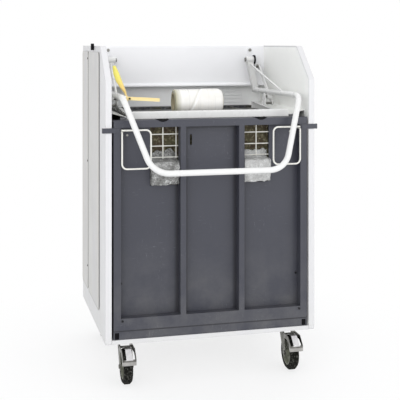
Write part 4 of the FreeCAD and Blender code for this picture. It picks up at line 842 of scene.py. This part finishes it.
clear_film = build_clear_film("clear_film", FILM_FLAT, FILM_SEE_THROUGH)
film_wad("crumpled_film_left", "film_wad_left", clear_film)
milky_film = build_clear_film("milky_film", MILKY_FLAT, MILKY_SEE_THROUGH)
film_wad("crumpled_film_right", "film_wad_right", milky_film)


# Card in the chamber: a crushed sheet of brown board that stands on the chamber's floor behind the
# windows, soaked olive in patches, with dark folds.

CARD_HALF = 0.300
CARD_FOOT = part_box("chamber_floor")[1].z
CARD_TOP = DECK_LOW.z - 0.012
CARD_Y = -0.262
CARD_WAVE = 0.007
WAVE_SCALE = 9
CARD_SHEET = 0.003
CARD_GRID = (110, 170)    # across and up
CARD_OLIVE = (0.085, 0.080, 0.042, 1)
CARD_BROWN = (0.048, 0.029, 0.014, 1)
CARD_PALE = (0.26, 0.235, 0.15, 1)


def crushed_card(material):
    shape = bmesh.new()
    bmesh.ops.create_grid(shape, x_segments=CARD_GRID[0], y_segments=CARD_GRID[1], size=0.5)
    bmesh.ops.scale(shape, verts=shape.verts, vec=(2 * CARD_HALF, CARD_TOP - CARD_FOOT, 1))
    bmesh.ops.rotate(shape, verts=shape.verts, cent=(0, 0, 0),
                     matrix=Matrix.Rotation(math.pi / 2, 3, "X"))
    bmesh.ops.translate(shape, verts=shape.verts, vec=(0, CARD_Y, (CARD_TOP + CARD_FOOT) / 2))
    for vert in shape.verts:
        vert.co.y += CARD_WAVE * (2 * crease(vert.co, WAVE_SCALE, 3) - 1)
    bmesh.ops.solidify(shape, geom=shape.faces, thickness=CARD_SHEET)
    bmesh.ops.recalc_face_normals(shape, faces=shape.faces)
    piece_from(shape, "crushed_card", "housing", material)


def build_crushed_board():
    material, tree, shader = new_material("crushed_board", 0.85)
    where = place_on_machine(tree)
    soaked = patches(tree, where, 16.0, 0.40, 0.60, detail=5, roughness=0.65)
    flecks = patches(tree, where, 85.0, 0.50, 0.68, detail=4, roughness=0.7)
    stained = mix_colour(tree, soaked, CARD_BROWN, CARD_OLIVE)
    feed(tree, shader["Base Color"], mix_colour(tree, flecks, stained, CARD_PALE))
    feed(tree, shader["Roughness"], ramp(tree, soaked, 0, 1, 0.7, 0.95))
    bump(tree, shader, noise(tree, where, 60.0, 5), 0.7, 0.003)
    return material


crushed_card(build_crushed_board())


# Casters: zinc-plated pressings and bolts, bolted under the base frame, each with a rubber tyre on
# a grey moulded wheel. The forks are dull and grimy, and the brake pedals' tongues trodden bright.
# The machine's other plated bolts and pins are finished here too.

ZINC = (0.22, 0.215, 0.20, 1)
ZINC_BRIGHT = (0.66, 0.65, 0.63, 1)
ZINC_DULL = (0.075, 0.075, 0.062, 1)
FORK_ZINC = (0.13, 0.128, 0.10, 1)
FORK_DULL = (0.045, 0.045, 0.032, 1)
PEDAL_LOW, PEDAL_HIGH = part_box("brake_pedal_left")
PEDAL_DIRT = (0.05, 0.048, 0.04, 1)
TONGUE_BRIGHT = (0.78, 0.77, 0.80, 1)
TONGUE_HALF = 0.017
FOOT_GREY = (0.42, 0.41, 0.40, 1)
FOOT_PLATE_TOP = PEDAL_LOW.z + 0.020
BOLT_GRIME_Z = (0.75, 0.85)    # the door's bolts are grimy below and bright above
TYRE_BLACK = (0.007, 0.007, 0.006, 1)
TYRE_DUST = (0.11, 0.11, 0.10, 1)
HUB_GREY = (0.15, 0.155, 0.12, 1)


def zinc_plate(name, clean, stained, low_rough, high_rough):
    """Plated pressing: bright where it is rubbed, dull and grey in patches."""
    material, tree, shader = new_material(name, 0.32, metallic=1.0)
    where = place_on_machine(tree)
    dull = patches(tree, where, 38.0, 0.38, 0.62, detail=5, roughness=0.6)
    spangle = add(tree, "ShaderNodeTexVoronoi", vector=where, scale=260.0)
    flake = ramp(tree, spangle.outputs["Color"], 0, 1, 0.0, 0.3)
    toned = mix_colour(tree, dull, clean, stained)
    feed(tree, shader["Base Color"], mix_colour(tree, flake, toned, ZINC_BRIGHT))
    feed(tree, shader["Roughness"], ramp(tree, dull, 0, 1, low_rough, high_rough))
    bump(tree, shader, noise(tree, where, 180.0), 0.25, 0.0005, edge=0.001)
    return material


def bright_zinc(name):
    return zinc_plate(name, ZINC_BRIGHT, ZINC, 0.25, 0.40)


def blackened(material):
    """Grime on the door's lower bolts."""
    tree = material.node_tree
    axes = axes_on_machine(tree)
    return lay_over(material, fade(tree, axes["Z"], *BOLT_GRIME_Z, 0.95), SEAM_DIRT_AND_SHADE)


def trodden(material):
    """A brake pedal's tongue trodden bright, its foot plate grey, and dirt round them."""
    tree = material.node_tree
    axes = axes_on_machine(tree)
    pedal_x = -(PEDAL_LOW.x + PEDAL_HIGH.x) / 2
    off_middle = distance_from(tree, math_node(tree, "ABSOLUTE", axes["X"]), pedal_x)
    tongue = fade(tree, off_middle, TONGUE_HALF - 0.002, TONGUE_HALF + 0.002)
    above = ramp(tree, axes["Z"], FOOT_PLATE_TOP - 0.001, FOOT_PLATE_TOP + 0.001)
    open_face = ramp(tree, distance_from(tree, axes["Z"], FOOT_PLATE_TOP), 0.002, 0.005)
    upper = mix_colour(tree, tongue, PEDAL_DIRT, TONGUE_BRIGHT)
    plate = mix_colour(tree, above, FOOT_GREY, upper)
    return lay_over(material, 0.7, mix_colour(tree, open_face, PEDAL_DIRT, plate))


def build_tyre():
    """Black rubber with dust pressed into its tread. Fine ribs take the moulded grain's place."""
    material = moulded("tyre_rubber", TYRE_BLACK, 0.78, gloss=0.06)
    tree = material.node_tree
    where = place_on_machine(tree)
    dust = patches(tree, where, 130.0, 0.54, 0.62, top=0.8, detail=4, roughness=0.7)
    lay_over(material, dust, TYRE_DUST)
    ribs = add(tree, "ShaderNodeTexWave", bands_direction="X", vector=where, scale=55.0)
    bump(tree, tree.nodes["Principled BSDF"].inputs, ribs.outputs["Fac"], 0.5, 0.0008)
    return material


zinc = zinc_plate("zinc", ZINC, ZINC_DULL, 0.28, 0.45)
finish_nodes(zinc, "front_axle_left", "front_axle_right", "caster_bolts", "pivot_pins", "lug_pins")
fork_zinc = zinc_plate("fork_zinc", FORK_ZINC, FORK_DULL, 0.30, 0.50)
finish_nodes(fork_zinc, "swivel_plates", "rear_forks", "swivel_fork_left", "swivel_fork_right")
finish_nodes(blackened(bright_zinc("bright_zinc")), "door_bolts")
finish_nodes(trodden(bright_zinc("pedal_zinc")), "brake_pedal_left", "brake_pedal_right")
finish_nodes(build_tyre(), "tyre_front_left", "tyre_front_right", "tyre_rear_left",
             "tyre_rear_right")
hub_plastic = moulded("hub_plastic", HUB_GREY, 0.5)
finish_nodes(hub_plastic, "hub_front_left", "hub_front_right", "hub_rear_left", "hub_rear_right")


# Floor and lamps: a pale floor that runs up into a white backdrop, and broad soft lamps.
# Seen straight on the floor turns as white as the backdrop, and near the casters it keeps their
# shadow.

FLOOR_PALE = (0.90, 0.90, 0.90, 1)
FLOOR_HALF = 12.0
FLOOR_LIFT = 0.74         # share of backdrop white in the floor under the machine
SHADOW_REACH = (0.65, 1.5)
BACKDROP_WHITE = (1, 1, 1, 1)
ROOM_LIGHT = (0.97, 0.98, 1, 1)
ROOM_STRENGTH = 0.95
LAMPS = (   # place, size and watts
    ("lamp_left", (-2.2, -4.6, 2.6), 2.8, 74),
    ("lamp_right", (2.4, -4.3, 1.7), 3.0, 40),
    ("lamp_top", (0.2, 0.4, 4.6), 2.8, 18),
)
MACHINE_MIDDLE = (Vector(cad_box[0]) + Vector(cad_box[1])) / 2


def sees_backdrop(tree):
    """1 for rays that go straight from the camera, a mirror or glass."""
    rays = tree.nodes.new("ShaderNodeLightPath").outputs
    return math_node(tree, "MAXIMUM", rays["Is Camera Ray"], rays["Is Glossy Ray"],
                     rays["Is Transmission Ray"])


def choose_shader(tree, share, plain, white, output):
    """The plain shader, turned into the white one by a share."""
    choose = tree.nodes.new("ShaderNodeMixShader")
    for socket, value in zip(choose.inputs, (share, plain.outputs[0], white.outputs[0])):
        feed(tree, socket, value)
    feed(tree, tree.nodes[output].inputs["Surface"], choose.outputs[0])


def build_floor():
    shape = bmesh.new()
    bmesh.ops.create_grid(shape, x_segments=1, y_segments=1, size=FLOOR_HALF)
    material, tree, shader = new_material("floor_pale", 0.7)
    shader["Base Color"].default_value = FLOOR_PALE
    where = place_on_machine(tree)
    away = add(tree, "ShaderNodeVectorMath", operation="LENGTH", vector=where)
    lift = ramp(tree, away.outputs["Value"], *SHADOW_REACH, FLOOR_LIFT, 1.0)
    share = math_node(tree, "MULTIPLY", lift, sees_backdrop(tree))
    white = add(tree, "ShaderNodeEmission", strength=1.0)
    choose_shader(tree, share, tree.nodes["Principled BSDF"], white, "Material Output")
    object_from(shape, "floor", material)


def build_room():
    """Even light from all round, and a white backdrop."""
    world = bpy.data.worlds.new("pale_room")
    bpy.context.scene.world = world
    world.use_nodes = True
    room = world.node_tree
    light = room.nodes["Background"]
    light.inputs["Color"].default_value = ROOM_LIGHT
    light.inputs["Strength"].default_value = ROOM_STRENGTH
    backdrop = room.nodes.new("ShaderNodeBackground")
    backdrop.inputs["Color"].default_value = BACKDROP_WHITE
    choose_shader(room, sees_backdrop(room), light, backdrop, "World Output")


def area_lamp(name, place, size, power):
    """A round soft lamp aimed at the machine's middle."""
    data = bpy.data.lights.new(name, "AREA")
    data.shape = "DISK"
    data.size = size
    data.energy = power
    lamp = bpy.data.objects.new(name, data)
    bpy.context.scene.collection.objects.link(lamp)
    lamp.location = place
    lamp.rotation_euler = (lamp.location - MACHINE_MIDDLE).to_track_quat("Z", "Y").to_euler()


build_floor()
for lamp_values in LAMPS:
    area_lamp(*lamp_values)
build_room()


# Camera: at eye height, a little left of the machine and level, with the frame shifted down.
# Its place, turn and lens come from the straight edges of the housing in the photograph.

CAMERA_PLACE = (-1.1125, -4.54105, 1.5779)
CAMERA_YAW = -0.24559
FOCAL_PIXELS = 926.03
FRAME_PIXELS = 400
HORIZON_ROW = 42.74
SENSOR_MM = 36.0

camera_data = bpy.data.cameras.new("camera")
camera_data.sensor_width = SENSOR_MM
camera_data.lens = FOCAL_PIXELS * SENSOR_MM / FRAME_PIXELS
camera_data.shift_y = (HORIZON_ROW - FRAME_PIXELS / 2) / FRAME_PIXELS
camera = bpy.data.objects.new("camera", camera_data)
bpy.context.scene.collection.objects.link(camera)
camera.location = CAMERA_PLACE
camera.rotation_euler = (math.pi / 2, 0, CAMERA_YAW)
bpy.context.scene.camera = camera
bpy.context.scene.view_settings.view_transform = "Standard"
